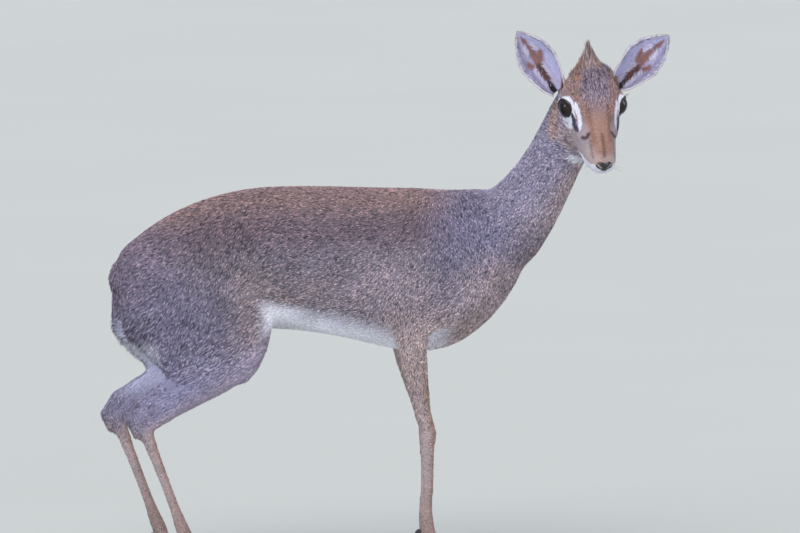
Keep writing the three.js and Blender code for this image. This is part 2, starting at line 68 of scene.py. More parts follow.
# How many locks grow on each part
LOCKS = {"body": 86000, "legs": 22000, "crown": 18900, "face": 18900, "ear_face": 4300, "ear_fringe_row": 170,
         "ear_rim": 900, "ear_root": 900, "crest": 2600, "lashes": 18, "whiskers": 26}
LOCKS_IN_A_PIECE = 19000
PATCH = 0.003                       # the size of a lock's patch on the flat layout

# The head's own frame: +X to the nose, +Y to its left, +Z to the crown, from between the eyes.
turn = Matrix.Rotation(radians(-83.7), 4, "Z") @ Matrix.Rotation(radians(40), 4, "Y")
turn = turn @ Matrix.Rotation(radians(1.5), 4, "X")


def middle_of(node):
    low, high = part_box(node)
    return (low + high) / 2


between_eyes = (middle_of("eye_left") + middle_of("eye_right")) / 2
HEAD = Matrix.Translation(between_eyes - turn @ Vector((0.001, 0, 0.0005))) @ turn
head_axes = np.array(HEAD.to_3x3())
head_place = np.array(HEAD.translation)


def in_head(points):
    """Points of the scene, as millimetres in the head's own frame."""
    return (points - head_place) @ head_axes / MM


def from_head(points):
    """Millimetres in the head's own frame, as points of the scene."""
    return np.asarray(points, float) * MM @ head_axes.T + head_place


def unit(vectors):
    vectors = np.asarray(vectors, float)
    return vectors / np.maximum(np.linalg.norm(vectors, axis=-1, keepdims=True), 1e-12)


def ramp(value, low, high):
    share = np.clip((value - low) / (high - low), 0, 1)
    return share * share * (3 - 2 * share)


def tone(red, green, blue):
    """A colour as it is seen, 0 to 255, as the light it gives back."""
    seen = np.array([red, green, blue]) / 255
    return np.where(seen < 0.04045, seen / 12.92, ((seen + 0.055) / 1.055) ** 2.4)


# ---------------------------------------------------------------- meshes and pieces

def vertices_of(mesh):
    places = np.empty(len(mesh.vertices) * 3)
    mesh.vertices.foreach_get("co", places)
    return places.reshape(-1, 3)


def normals_of(mesh):
    normals = np.empty(len(mesh.vertices) * 3, np.float32)
    mesh.vertex_normals.foreach_get("vector", normals)
    return normals.reshape(-1, 3).astype(float)


def set_vertices(mesh, places):
    mesh.vertices.foreach_set("co", np.ascontiguousarray(places, np.float32).ravel())
    mesh.update()


def colour_points(mesh, colours):
    layer = mesh.color_attributes.new("coat", "FLOAT_COLOR", "POINT")
    values = np.ones((len(mesh.vertices), 4), np.float32)
    values[:, :3] = colours
    layer.data.foreach_set("color", values.ravel())


def mesh_from(bm, name):
    mesh = bpy.data.meshes.new(name)
    bm.to_mesh(mesh)
    bm.free()
    mesh.update()
    return mesh


def piece(name, mesh, material, replaced=()):
    mesh.materials.clear()
    mesh.materials.append(material)
    mesh.polygons.foreach_set("use_smooth", np.ones(len(mesh.polygons), bool))
    made = bpy.data.objects.new(name, mesh)
    bpy.context.scene.collection.objects.link(made)
    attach(made, "root")
    if replaced:
        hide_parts(*replaced)


def finished(mesh, *settings):
    """The mesh after a run of modifiers, each given as (kind, its values)."""
    maker = bpy.data.objects.new("maker", mesh)
    bpy.context.scene.collection.objects.link(maker)
    for kind, values in settings:
        modifier = maker.modifiers.new(kind.lower(), kind)
        for key, value in values.items():
            setattr(modifier, key, value)
    bpy.context.view_layer.update()
    made = bpy.data.meshes.new_from_object(maker.evaluated_get(bpy.context.evaluated_depsgraph_get()))
    bpy.data.objects.remove(maker)
    return made


# ---------------------------------------------------------------- materials

def put(tree, kind, settings=None, **inputs):
    """Adds a node, and links or sets its inputs."""
    node = tree.nodes.new(kind)
    for key, value in (settings or {}).items():
        setattr(node, key, value)
    for key, value in inputs.items():
        socket = node.inputs[int(key[1:])] if key[1:].isdigit() else node.inputs[key.replace("_", " ")]
        if isinstance(value, bpy.types.NodeSocket):
            tree.links.new(value, socket)
        else:
            socket.default_value = value
    return node


def hair_tone_group():
    """Light and dark ticks of single hairs over a colour, and their height."""
    tree = bpy.data.node_groups.new("hair_tone", "ShaderNodeTree")
    for name, kind in (("Colour", "Color"), ("Ticking", "Float"), ("Fineness", "Float")):
        tree.interface.new_socket(name, in_out="INPUT", socket_type="NodeSocket" + kind)
    for name, kind in (("Colour", "Color"), ("Height", "Float")):
        tree.interface.new_socket(name, in_out="OUTPUT", socket_type="NodeSocket" + kind)
    given = tree.nodes.new("NodeGroupInput").outputs
    place = put(tree, "ShaderNodeTexCoord").outputs["Object"]
    ticks = put(tree, "ShaderNodeTexNoise", Vector=place, Scale=given["Fineness"], Detail=3.0, Roughness=0.6)
    broad = put(tree, "ShaderNodeTexNoise", Vector=place, Scale=38.0, Detail=2.0)
    both = put(tree, "ShaderNodeMath", {"operation": "MULTIPLY_ADD"}, _0=broad.outputs["Fac"], _1=0.5,
               _2=ticks.outputs["Fac"])
    spread = put(tree, "ShaderNodeMapRange", Value=both.outputs[0], From_Min=0.5, From_Max=1.0,
                 To_Min=-1.0, To_Max=1.0)
    amount = put(tree, "ShaderNodeMath", {"operation": "MULTIPLY_ADD"}, _0=spread.outputs[0],
                 _1=given["Ticking"], _2=1.0)
    shaded = put(tree, "ShaderNodeVectorMath", {"operation": "SCALE"}, _0=given["Colour"],
                 Scale=amount.outputs[0])
    out = tree.nodes.new("NodeGroupOutput")
    tree.links.new(shaded.outputs[0], out.inputs["Colour"])
    tree.links.new(ticks.outputs["Fac"], out.inputs["Height"])
    return tree


hair_tone = hair_tone_group()


def material(name, roughness, **constants):
    made = bpy.data.materials.new(name)
    made.use_nodes = True
    shader = made.node_tree.nodes["Principled BSDF"]
    shader.inputs["Roughness"].default_value = roughness
    for key, value in constants.items():
        shader.inputs[key.replace("_", " ")].default_value = value
    return made, made.node_tree, shader


def bumped(tree, shader, height, strength, depth):
    bump = put(tree, "ShaderNodeBump", Height=height, Strength=strength, Distance=depth)
    tree.links.new(bump.outputs["Normal"], shader.inputs["Normal"])


def coat_material(name, ticking, fineness, bump):
    """Skin or hair in the colours of its points, with the ticks of single hairs."""
    made, tree, shader = material(name, 0.72, Sheen_Weight=0.05, Sheen_Roughness=0.5, Specular_IOR_Level=0.2)
    colour = put(tree, "ShaderNodeAttribute", {"attribute_name": "coat"})
    hairs = put(tree, "ShaderNodeGroup", {"node_tree": hair_tone}, Colour=colour.outputs["Color"],
                Ticking=ticking, Fineness=fineness)
    tree.links.new(hairs.outputs["Colour"], shader.inputs["Base Color"])
    bumped(tree, shader, hairs.outputs["Height"], bump, 0.0012)
    return made


def horn_material(name, dark, pale, rings):
    """Hoof horn: growth rings up the wall, and fine streaks."""
    made, tree, shader = material(name, 0.42, Coat_Weight=0.15)
    place = put(tree, "ShaderNodeTexCoord").outputs["Object"]
    growth = put(tree, "ShaderNodeTexWave", {"bands_direction": "Z"}, Vector=place, Scale=rings, Distortion=3.0,
                 Detail=2.0)
    streaks = put(tree, "ShaderNodeTexNoise", Vector=place, Scale=420.0, Detail=3.0)
    both = put(tree, "ShaderNodeMath", {"operation": "MULTIPLY"}, _0=growth.outputs["Fac"],
               _1=streaks.outputs["Fac"])
    colour = put(tree, "ShaderNodeMix", {"data_type": "RGBA"}, Factor=both.outputs[0])
    colour.inputs[6].default_value = (*dark, 1)
    colour.inputs[7].default_value = (*pale, 1)
    tree.links.new(colour.outputs[2], shader.inputs["Base Color"])
    bumped(tree, shader, growth.outputs["Fac"], 0.35, 0.0006)
    return made


def leather_material(name, dark, pale, roughness, pores, depth, coat):
    """Bare damp skin with close pores."""
    made, tree, shader = material(name, roughness, Coat_Weight=coat, Coat_Roughness=0.12)
    place = put(tree, "ShaderNodeTexCoord").outputs["Object"]
    cells = put(tree, "ShaderNodeTexVoronoi", Vector=place, Scale=pores)
    cloud = put(tree, "ShaderNodeTexNoise", Vector=place, Scale=pores * 0.3, Detail=2.0)
    colour = put(tree, "ShaderNodeMix", {"data_type": "RGBA"}, Factor=cloud.outputs["Fac"])
    colour.inputs[6].default_value = (*dark, 1)
    colour.inputs[7].default_value = (*pale, 1)
    tree.links.new(colour.outputs[2], shader.inputs["Base Color"])
    bumped(tree, shader, cells.outputs["Distance"], 0.5, depth)
    return made


def eye_material():
    """A dark wet eye: a wide pupil, a brown iris with fine rays, and a black edge."""
    made, tree, shader = material("eye_dark", 0.03, Specular_IOR_Level=0.36)
    place = put(tree, "ShaderNodeAttribute", {"attribute_name": "gaze"}).outputs["Vector"]
    parts = put(tree, "ShaderNodeSeparateXYZ", Vector=place)
    wide = put(tree, "ShaderNodeCombineXYZ", X=parts.outputs["X"], Y=parts.outputs["Y"])
    flat = put(tree, "ShaderNodeVectorMath", {"operation": "LENGTH"}, _0=wide.outputs[0])
    drawn = put(tree, "ShaderNodeVectorMath", {"operation": "MULTIPLY"}, _0=wide.outputs[0],
                _1=(0.62, 1.0, 0.0))
    pupil = put(tree, "ShaderNodeVectorMath", {"operation": "LENGTH"}, _0=drawn.outputs[0])
    rays = put(tree, "ShaderNodeTexNoise", Vector=place, Scale=9.0, Detail=5.0)
    iris = put(tree, "ShaderNodeMapRange", Value=pupil.outputs["Value"], From_Min=0.36, From_Max=0.46)
    edge = put(tree, "ShaderNodeMapRange", Value=flat.outputs["Value"], From_Min=0.72, From_Max=0.86,
               To_Min=1.0, To_Max=0.0)
    shown = put(tree, "ShaderNodeMath", {"operation": "MULTIPLY"}, _0=iris.outputs[0], _1=edge.outputs[0])
    streaked = put(tree, "ShaderNodeMath", {"operation": "MULTIPLY"}, _0=shown.outputs[0],
                   _1=rays.outputs["Fac"])
    colour = put(tree, "ShaderNodeMix", {"data_type": "RGBA"}, Factor=streaked.outputs[0])
    colour.inputs[6].default_value = (0.0035, 0.0032, 0.004, 1)
    colour.inputs[7].default_value = (0.045, 0.02, 0.011, 1)
    tree.links.new(colour.outputs[2], shader.inputs["Base Color"])
    return made


SKIN = coat_material("coat_skin", 0.3, 700.0, 0.8)
HAIR = coat_material("coat_hair", 0.16, 900.0, 0.25)
FACE_HAIR = coat_material("face_hair", 0.14, 1500.0, 0.2)
EAR_SKIN = coat_material("ear_skin", 0.22, 1100.0, 0.6)
HORN = horn_material("hoof_horn", (0.012, 0.010, 0.009), (0.07, 0.055, 0.045), 260.0)
NOSE = leather_material("nose_leather", (0.006, 0.005, 0.006), (0.022, 0.018, 0.02), 0.34, 1500.0, 0.0004,
                        0.4)
LID = leather_material("lid_leather", (0.010, 0.008, 0.010), (0.03, 0.024, 0.026), 0.4, 1200.0, 0.0003, 0.35)
EYE_DARK = eye_material()

# ---------------------------------------------------------------- markings

WHITE = tone(246, 243, 255)
FLANK = tone(127, 117, 129)
FORE_FLANK = tone(168, 153, 163)
SADDLE = tone(120, 104, 114)
BACK = tone(144, 120, 120)
BLUE_GREY = tone(136, 130, 156)
NECK = tone(150, 142, 164)
THROAT = tone(178, 160, 166)
THIGH = tone(126, 122, 150)
RUMP = tone(134, 122, 140)
LOW_SIDE = tone(150, 136, 140)
LOW_THIGH = tone(152, 147, 176)
STIFLE = tone(184, 170, 190)
INNER_SIDE = tone(226, 223, 248)
TAN = tone(184, 164, 164)
SHIN = tone(176, 148, 136)
RUFOUS = tone(178, 148, 140)
TEMPLE = tone(152, 124, 122)
ORANGE = tone(180, 138, 122)
CROWN = tone(130, 118, 134)
CHEEK = tone(178, 160, 164)
CREAM = tone(202, 178, 172)
BROWN = tone(96, 64, 56)
BLACK = tone(34, 29, 34)
TEAR = tone(66, 64, 88)

# The back line: places along the body, and their heights
BACK_LINE = [(-290, 330), (-281, 354), (-255, 374), (-225, 389), (-190, 401), (-150, 408), (60, 406),
             (130, 420)]


def head_share(points):
    """How far a point belongs to the head rather than to the neck."""
    x, y, z = in_head(points).T
    beyond = (x + 40) * 0.83 + (z - 10) * 0.55
    near = 112 - np.linalg.norm(np.stack([x - 20, y, z + 8], 1), axis=1)
    return ramp(beyond, -4, 10) * ramp(near, 0, 12)


def spot(places, centre, size, soft=0.35):
    """1 inside an ellipsoid of the given half sizes, fading out over its edge."""
    far = np.linalg.norm((places - np.array(centre)) / np.array(size), axis=1)
    return 1 - ramp(far, 1 - soft, 1 + soft)


def stroke(places, line, width, soft):
    """1 along a line through the given points, fading out past its half width."""
    line = np.array(line, float)
    nearest = np.full(len(places), 1e9)
    for start, end in zip(line[:-1], line[1:]):
        run = end - start
        share = np.clip((places - start) @ run / (run @ run), 0, 1)
        nearest = np.minimum(nearest, np.linalg.norm(places - start - share[:, None] * run, axis=1))
    return 1 - ramp(nearest, width, width + soft)


def round_the_eye(places):
    """On the left side: the direction from the eye's inner corner, and how far past the lids' edge."""
    axes, centre = eye_axes(1)
    a, b, _ = ((places - centre) @ axes.T).T
    angle = np.arctan2(b, a)
    return np.degrees(angle), np.hypot(a, b) - opening_edge(angle)


def laid(colour, mask, over):
    return colour + mask[:, None] * (over - colour)


def body_colour(points, normals):
    places = points / MM
    x, y, z = places.T
    across = y - MIDDLE
    inward = -normals[:, 1] * np.sign(across)
    colour = np.tile(FLANK, (len(points), 1))
    below = np.interp(x, *zip(*BACK_LINE)) - z
    ahead = 1 - ramp(x, 60, 110)
    colour = laid(colour, (1 - ramp(below, 36, 70)) * ahead, SADDLE)
    colour = laid(colour, (1 - ramp(below, 6, 36)) * ahead, BACK)
    colour = laid(colour, 0.9 * spot(places, (4, MIDDLE, 302), (50, 90, 42), 0.7), FORE_FLANK)
    colour = laid(colour, 0.5 * spot(places, (-100, MIDDLE, 300), (60, 90, 24), 0.5), LOW_SIDE)
    shoulder = spot(places, (94, MIDDLE, 350), (48, 90, 62), 0.6) * (1 - 0.8 * ramp(normals[:, 0], 0.3, 0.8))
    colour = laid(colour, 0.9 * shoulder, BLUE_GREY)
    neck = ramp(x + 0.35 * (z - 400), 92, 140) * ramp(z, 330, 400)
    colour = laid(colour, neck, NECK)
    colour = laid(colour, neck * ramp(normals[:, 0], -0.15, 0.6), THROAT)
    colour = laid(colour, 0.8 * spot(places, (110, MIDDLE, 300), (44, 70, 40), 0.6), THROAT)
    colour = laid(colour, 0.8 * spot(places, (-256, MIDDLE, 322), (50, 90, 50), 0.6), RUMP)
    colour = laid(colour, 0.8 * spot(places, (-222, MIDDLE, 262), (62, 90, 52), 0.7), THIGH)
    colour = laid(colour, 0.7 * stroke(places, [(-156, MIDDLE, 305), (-138, MIDDLE, 240)], 50, 24) *
                  ramp(x, -176, -145), LOW_SIDE)
    legs = 1 - ramp(z, 190, 240)
    fore = ramp(x, -70, -40)
    colour = laid(colour, legs * fore, TAN)
    colour = laid(colour, (1 - ramp(z, 240, 300)) * fore * ramp(x, -20, 10), TAN)
    colour = laid(colour, legs * fore * ramp(normals[:, 0], 0.0, 0.7), SHIN)
    hind = (1 - fore) * (1 - ramp(z, 212, 258))
    colour = laid(colour, 0.9 * hind, LOW_THIGH)
    front_edge = (1 - fore) * (1 - ramp(z, 236, 276)) * ramp(normals[:, 0] - normals[:, 2], -0.1, 0.7)
    colour = laid(colour, 0.9 * front_edge, STIFLE)
    shank = (1 - fore) * (1 - ramp(z, 140, 180))
    colour = laid(colour, shank, TAN)
    colour = laid(colour, shank * ramp(normals[:, 0], 0.0, 0.7), SHIN)
    colour = laid(colour, 0.7 * (1 - ramp(z, 60, 110)), RUFOUS * 0.8)
    rear_heel = spot(places, (-262, MIDDLE, 176), (34, 90, 22), 0.5) * ramp(-normals[:, 0], -0.2, 0.5)
    colour = laid(colour, 0.6 * rear_heel, RUMP)
    belly_line = 290 - 0.26 * (x + 120)
    colour = laid(colour, (1 - ramp(z, belly_line - 10, belly_line + 10)) * ramp(x, -140, -120) *
                  (1 - ramp(x, 5, 30)) * ramp(z - 0.5 * (x + 150), 240, 256), WHITE)
    colour = laid(colour, ramp(-normals[:, 2], 0.35, 0.8) * ramp(z, 215, 235) * (1 - ramp(z, 280, 300)) *
                  ramp(x, -150, -130) * (1 - ramp(x, 50, 80)), WHITE)
    inner_side = ramp(inward, 0.4, 0.9) * (1 - ramp(z, 256, 280)) * ramp(z, 178, 206) * (1 - fore)
    colour = laid(colour, 0.8 * inner_side, INNER_SIDE)
    inner_fore = ramp(inward, 0.4, 0.9) * ramp(x, -40, 0) * (1 - ramp(z, 240, 270))
    colour = laid(colour, inner_fore * (0.35 + 0.45 * ramp(z, 140, 215)), CREAM)
    rear = spot(places, (-266, MIDDLE, 236), (24, 90, 19), 0.6) * ramp(-normals[:, 0], -0.6, 0.1)
    colour = laid(colour, 0.9 * rear, WHITE)
    under_tail = (1 - ramp(np.abs(across), 5, 12)) * ramp(-x, 262, 276)
    return laid(colour, under_tail * ramp(z, 230, 250) * (1 - ramp(z, 278, 296)), WHITE)


# How far the white reaches past the lids, by the direction from the inner corner, in degrees
EYE_WHITE = {-180: 0.8, -150: 4, -120: 12, -90: 15, -50: 13, -20: 10, 0: 9.4, 20: 8, 45: 5.4, 70: 3.6,
             95: 3, 130: 3, 160: 1.6, 180: 0.8}


def head_colour(points):
    places = in_head(points)
    x, _, z = places.T
    places = np.stack([x, np.abs(places[:, 1]), z], 1)
    side = places[:, 1]
    colour = np.tile(CHEEK, (len(points), 1))
    colour = laid(colour, ramp(z, -10, 10) * (1 - ramp(x, 24, 44)), TEMPLE)
    colour = laid(colour, 0.8 * stroke(places, [(24, 8, 14), (50, 4, 6), (74, 2, -6)], 6, 6), ORANGE)
    colour = laid(colour, spot(places, (50, 3, 4), (28, 9, 12), 0.5), ORANGE)
    middle = 19 - 0.17 * (x + 10)
    grizzle = (1 - ramp(side, middle - 5, middle + 3)) * (1 - ramp(x, 8, 42)) * ramp(z, 4, 14)
    colour = laid(colour, 0.92 * grizzle, CROWN)
    colour = laid(colour, 0.7 * spot(places, (68, 12, -11), (14, 7, 8), 0.5), CREAM)
    colour = laid(colour, 0.7 * spot(places, (77, 5, -7), (6, 10, 6), 0.5), CREAM)
    colour = laid(colour, 0.6 * stroke(places, [(52, 0, 7), (73, 0, -4)], 0.7, 2.2), BROWN)
    colour = laid(colour, 0.35 * stroke(places, [(22, 11, 14), (40, 10.5, 8), (56, 9, 2)], 1.4, 3), BROWN)
    colour = laid(colour, 0.4 * stroke(places, [(54, 13, 0), (70, 11, -8)], 0.8, 2.4), BROWN)
    # Lips, chin and lower jaw
    colour = laid(colour, spot(places, (78, 5, -24), (11, 12, 6.5), 0.3), WHITE)
    jaw = [(78, 9, -18), (64, 15.6, -24.5), (50, 18.5, -29), (30, 20, -38)]
    colour = laid(colour, stroke(places, jaw, 3.6, 2.6), WHITE)
    colour = laid(colour, (1 - ramp(z, -39, -31 - 0.06 * x)) * ramp(x, 24, 40), WHITE)
    # The white round the eye, the tears' line to the scent gland, and the marks before and below it
    angle, past = round_the_eye(places)
    reach = np.interp(angle, list(EYE_WHITE), list(EYE_WHITE.values()))
    colour = laid(colour, 1 - ramp(past, reach - 0.6, reach + 0.8), WHITE)
    inner = [(16, 22.5, 12.6), (24, 20.2, 8.5), (31, 19.8, 2.5), (34, 20.5, -2)]
    colour = laid(colour, stroke(places, inner, 2.0, 1.4), WHITE)
    colour = laid(colour, 0.8 * stroke(places, [(10, 28, -17), (20, 27, -11)], 0.3, 1.0), TEAR)
    colour = laid(colour, stroke(places, [(18, 26, 3), (25, 24, -0.6)], 1.7, 0.9), BLACK)
    colour = laid(colour, stroke(places, [(24, 24.2, -1), (28, 23.4, -3.4), (32, 22.3, -5.4)], 2.8, 1.2), TEAR)
    comma = [(45.2, 13.1, 2.8), (48.5, 13.9, 0.2), (46.8, 16.4, -3.6), (42.5, 18.6, -7)]
    colour = laid(colour, 0.9 * stroke(places, comma, 1.2, 1.5), BROWN * 0.5)
    colour = laid(colour, 0.9 * spot(places, (46.8, 13.8, 1.4), (3.0, 2.6, 3.0), 0.4), BROWN * 0.5)
    return laid(colour, stroke(places, [(84, 3, -21.5), *MOUTH], 0.4, 0.8), TEAR)


def cheek_and_throat(points, colour):
    """Where head and neck meet: a rufous band behind the eye, a grizzled cheek and a white throat."""
    places = in_head(points)
    places = np.stack([places[:, 0], np.abs(places[:, 1]), places[:, 2]], 1)
    colour = laid(colour, 0.85 * stroke(places, [(-25, 33, -28), (-17, 34, -40), (-7, 32, -50)], 5, 6), RUFOUS)
    colour = laid(colour, 0.7 * stroke(places, [(-2, 27, -47), (3, 22, -50), (8, 15, -54)], 4, 5), CHEEK)
    colour = laid(colour, 0.7 * stroke(places, [(3, 21.5, -51), (8, 15, -55)], 0.4, 1.6), BROWN)
    return laid(colour, 0.85 * stroke(places, [(12, 15, -68), (13, 8, -71), (12, 0, -73)], 2.4, 3), WHITE)


def coat_colour(points, normals):
    share = head_share(points)[:, None]
    colour = body_colour(points, normals) * (1 - share) + head_colour(points) * share
    return cheek_and_throat(points, colour)


def ticked(points, colour):
    """How strongly the hairs there are ringed light and dark: little where the coat is white."""
    bright = colour.mean(1)
    plain = ramp(bright, 0.34, 0.5)
    legs = 1 - ramp(points[:, 2] / MM, 150, 250)
    x, y, z = in_head(points).T
    head = head_share(points)
    face = head * ramp(x, 24, 44)
    crown = head * (1 - ramp(np.abs(y), 10, 18)) * (1 - ramp(x, 14, 40)) * ramp(z, 4, 14)
    return 1 + 0.3 * crown - 0.8 * np.maximum(np.maximum(plain, 0.7 * legs), 0.6 * face)


# ---------------------------------------------------------------- the lie of the coat

# Lines along which the coat lies, from start to end, those of the head in the head's own frame
RUNS = [
    ((118, 0, 372), (-250, 0, 340)), ((100, 0, 300), (-240, 0, 268)), ((60, 0, 250), (-150, 0, 262)),
    ((200, -5, 500), (176, 0, 440)), ((176, 0, 440), (126, 0, 366)), ((126, 0, 366), (108, 0, 310)),
    ((75, 30, 390), (92, 30, 304)), ((98, 30, 318), (18, 34, 256)),
    ((20, 35, 268), (44, 30, 148)), ((44, 30, 148), (46, 30, 40)),
    ((-170, 45, 345), (-226, 50, 250)), ((-140, 42, 250), (-262, 36, 160)),
    ((-264, 36, 160), (-214, 36, 40)), ((-270, 0, 338), (-287, 0, 296)),
]
HEAD_RUNS = [
    ((76, 0, -4), (30, 0, 13)), ((30, 0, 13), (-14, 0, 34)), ((74, 13, -14), (24, 25, -16)),
    ((24, 27, 14), (-24, 27, 22)), ((24, 27, -18), (-34, 30, -24)), ((78, 5, -27), (-30, 16, -42)),
    ((-10, 16, 30), (-16, 2, 40)),
]


def comb_lines():
    starts, ends = [], []
    for start, end in RUNS:
        for side in (-1, 1) if start[1] or end[1] else (1,):
            starts.append((start[0], MIDDLE + side * start[1], start[2]))
            ends.append((end[0], MIDDLE + side * end[1], end[2]))
    starts, ends = np.array(starts) * MM, np.array(ends) * MM
    for start, end in HEAD_RUNS:
        for side in (-1, 1) if start[1] or end[1] else (1,):
            starts = np.vstack([starts, from_head([(start[0], side * start[1], start[2])])])
            ends = np.vstack([ends, from_head([(end[0], side * end[1], end[2])])])
    return starts, ends


def past_the_lids(points):
    """How far past the nearer eye's opening each point lies, and the way out from it."""
    places = in_head(points)
    side = np.where(places[:, 1] > 0, 1.0, -1.0)
    axes, centre = eye_axes(1)
    away = np.stack([places[:, 0], np.abs(places[:, 1]), places[:, 2]], 1) - centre
    a, b, out = (away @ axes.T).T
    past = np.hypot(a, b) - opening_edge(np.arctan2(b, a))
    past[(out < -2) | (np.linalg.norm(away, axis=1) > 24)] = 99
    way_out = a[:, None] * axes[0] + b[:, None] * axes[1]
    way_out[:, 1] *= side
    return past, unit(way_out) @ head_axes.T


def lie_of(points, normals):
    """The way the coat lies: the runs of its nearest lines, along the skin, and outwards round the eyes."""
    total = np.zeros_like(points)
    for start, end in zip(*comb_lines()):
        run = end - start
        share = np.clip((points - start) @ run / (run @ run), 0, 1)
        near = np.linalg.norm(points - start - share[:, None] * run, axis=1)
        total += (run / np.linalg.norm(run)) / (near[:, None] + 0.004) ** 4
    past, way_out = past_the_lids(points)
    by_the_eye = (1 - ramp(past, 1, 6))[:, None]
    total = unit(total) * (1 - by_the_eye) + way_out * by_the_eye
    total -= (total * normals).sum(1)[:, None] * normals
    return unit(total)


# ---------------------------------------------------------------- the skin

def fused_flesh():
    """All flesh as one closed skin with faces of one size; the head's are split finer afterwards."""
    crown = HEAD @ Vector((0, 0, 0.033))
    whole = bmesh.new()
    for name in FLESH + ["eye_left", "eye_right", "nose"]:
        part = bmesh.new()
        part.from_mesh(nodes[name].data)
        bmesh.ops.remove_doubles(part, verts=part.verts, dist=1e-6)
        if name == "head":
            every = part.verts[:] + part.edges[:] + part.faces[:]
            bmesh.ops.bisect_plane(part, geom=every, plane_co=crown, plane_no=HEAD.col[2].xyz, clear_outer=True)
            bmesh.ops.holes_fill(part, edges=[edge for edge in part.edges if edge.is_boundary])
        loose = bpy.data.meshes.new(name)
        part.to_mesh(loose)
        part.free()
        whole.from_mesh(loose)
    return finished(mesh_from(whole, "flesh"), ("REMESH", {"mode": "VOXEL", "voxel_size": SKIN_GRAIN * MM}))


def edges_of(mesh):
    ends = np.empty(len(mesh.edges) * 2, np.int64)
    mesh.edges.foreach_get("vertices", ends)
    return ends.reshape(-1, 2)


def relaxed(places, ends, amount, times):
    """Draws each point towards the middle of its neighbours."""
    count = np.bincount(ends.ravel(), minlength=len(places))[:, None]
    for _ in range(times):
        total = np.stack([
            np.bincount(ends[:, 0], places[ends[:, 1], k], len(places)) +
            np.bincount(ends[:, 1], places[ends[:, 0], k], len(places)) for k in range(places.shape[1])], 1)
        places = places + amount[:, None] * (total / count - places)
    return places


def finer(mesh, chosen):
    """Splits the faces whose middles are chosen."""
    bm = bmesh.new()
    bm.from_mesh(mesh)
    middles = np.array([face.calc_center_median() for face in bm.faces])
    picked = chosen(middles)
    bm.faces.ensure_lookup_table()
    edges = {edge for index in np.nonzero(picked)[0] for edge in bm.faces[index].edges}
    bmesh.ops.subdivide_edges(bm, edges=list(edges), cuts=1, use_grid_fill=True)
    bmesh.ops.triangulate(bm, faces=[face for face in bm.faces if len(face.verts) > 4])
    return mesh_from(bm, mesh.name)


def eye_axes(side):
    """The eye's own axes in the head's frame: towards its inner corner, up, and out."""
    outward = radians(EYE["outward"])
    look = unit([cos(outward), side * sin(outward), EYE["raised"]])
    inner = np.array([sin(outward), -side * cos(outward), EYE["slant"]])
    inner = unit(inner - look * (inner @ look))
    upward = np.cross(look, inner)
    return np.stack([inner, upward * np.sign(upward[2]), look]), np.array(EYE["place"]) * (1, side, 1)


def opening_edge(angle):
    """Half width of the gap between the lids, by the angle from the inner corner."""
    c, s = np.cos(angle), np.sin(angle)
    along = np.where(c > 0, OPENING["inner"], OPENING["outer"])
    tall = np.where(s > 0, OPENING["upper"], OPENING["lower"])
    power = OPENING["roundness"]
    return (np.abs(c / along) ** power + np.abs(s / tall) ** power) ** (-1 / power)


def shaped_face(places):
    """Sinks the eye openings, and draws the lids, scent glands, lips and mouth line."""
    radius = EYE["radius"]
    for side in (1, -1):
        axes, centre = eye_axes(side)
        away = places - centre
        far = np.linalg.norm(away, axis=1)
        a, b, out = (away @ axes.T).T
        past = np.hypot(a, b) - opening_edge(np.arctan2(b, a))
        near = (far < radius + 9) & (out > -1)
        rim = np.maximum(far, radius + 1.0 - 0.25 * np.clip(past - 2, 0, 8))
        blend_in = ramp(past, -1.1, 0.1)
        wanted = (radius - 2.5) * (1 - blend_in) + rim * blend_in
        places = np.where(near[:, None], centre + away * (wanted / far)[:, None], places)
    x, y, z = places.T
    side = np.abs(y)
    mirrored = np.stack([x, side, z], 1)
    sink = np.zeros(len(places))
    sink += 1.3 * stroke(mirrored, [(85, 2, -21.5), *MOUTH], 0.3, 1.4)
    sink += 1.2 * stroke(mirrored, [(29, 23.4, -5.5), (34, 22.4, -10)], 0.5, 1.6)
    sink -= 0.9 * stroke(mirrored, [(28, 21.4, -5), (35, 20, -11)], 2.6, 3.0)
    sink += 1.6 * spot(mirrored, (40, 15, 6), (12, 5, 5), 0.6)
    inward = -unit(places - np.stack([x, 0 * y, np.full(len(x), -12.0)], 1))
    return places + inward * sink[:, None]


def make_skin():
    flesh = fused_flesh()
    fused = BVHTree.FromPolygons(vertices_of(flesh).tolist(), [list(face.vertices) for face in flesh.polygons])
    mesh = finer(flesh, lambda middles: head_share(middles) > 0.2)

    def round_the_features(middles):
        places = in_head(middles)
        eyes = np.minimum(*(np.linalg.norm(places - eye_axes(side)[1], axis=1) for side in (1, -1)))
        mouth = (places[:, 0] > 44) & (places[:, 2] < -12) & (head_share(middles) > 0.5)
        return (eyes < 17) | mouth
    mesh = finer(mesh, round_the_features)
    places, ends = vertices_of(mesh), edges_of(mesh)
    height = places[:, 2] / MM
    head = head_share(places)
    soft = (0.1 + 0.5 * ramp(height, 190, 260)) * (1 - head) + 0.14 * head
    places = relaxed(places, ends, soft, 26)
    set_vertices(mesh, places)
    # What the smoothing drew in comes back, so that the body keeps its fullness.
    normals = normals_of(mesh)
    nearest = np.array([fused.find_nearest(place)[0] for place in places.tolist()])
    lost = ((nearest - places) * normals).sum(1)[:, None]
    lost = relaxed(lost, ends, np.full(len(places), 0.6), 50)[:, 0]
    # The skin lies inside the solids by the depth of the coat.
    depth = 0.8 + 1.0 * ramp(height, 170, 290)
    depth = depth * (1 - head) + head * (0.8 + 0.6 * (1 - ramp(in_head(places)[:, 0], -30, 30)))
    places = places + normals * (lost - depth * MM)[:, None]
    places = relaxed(places, ends, np.full(len(places), 0.1), 2)
    face = head_share(places) > 0.3
    places[face] = from_head(shaped_face(in_head(places[face])))
    set_vertices(mesh, places)
    return mesh


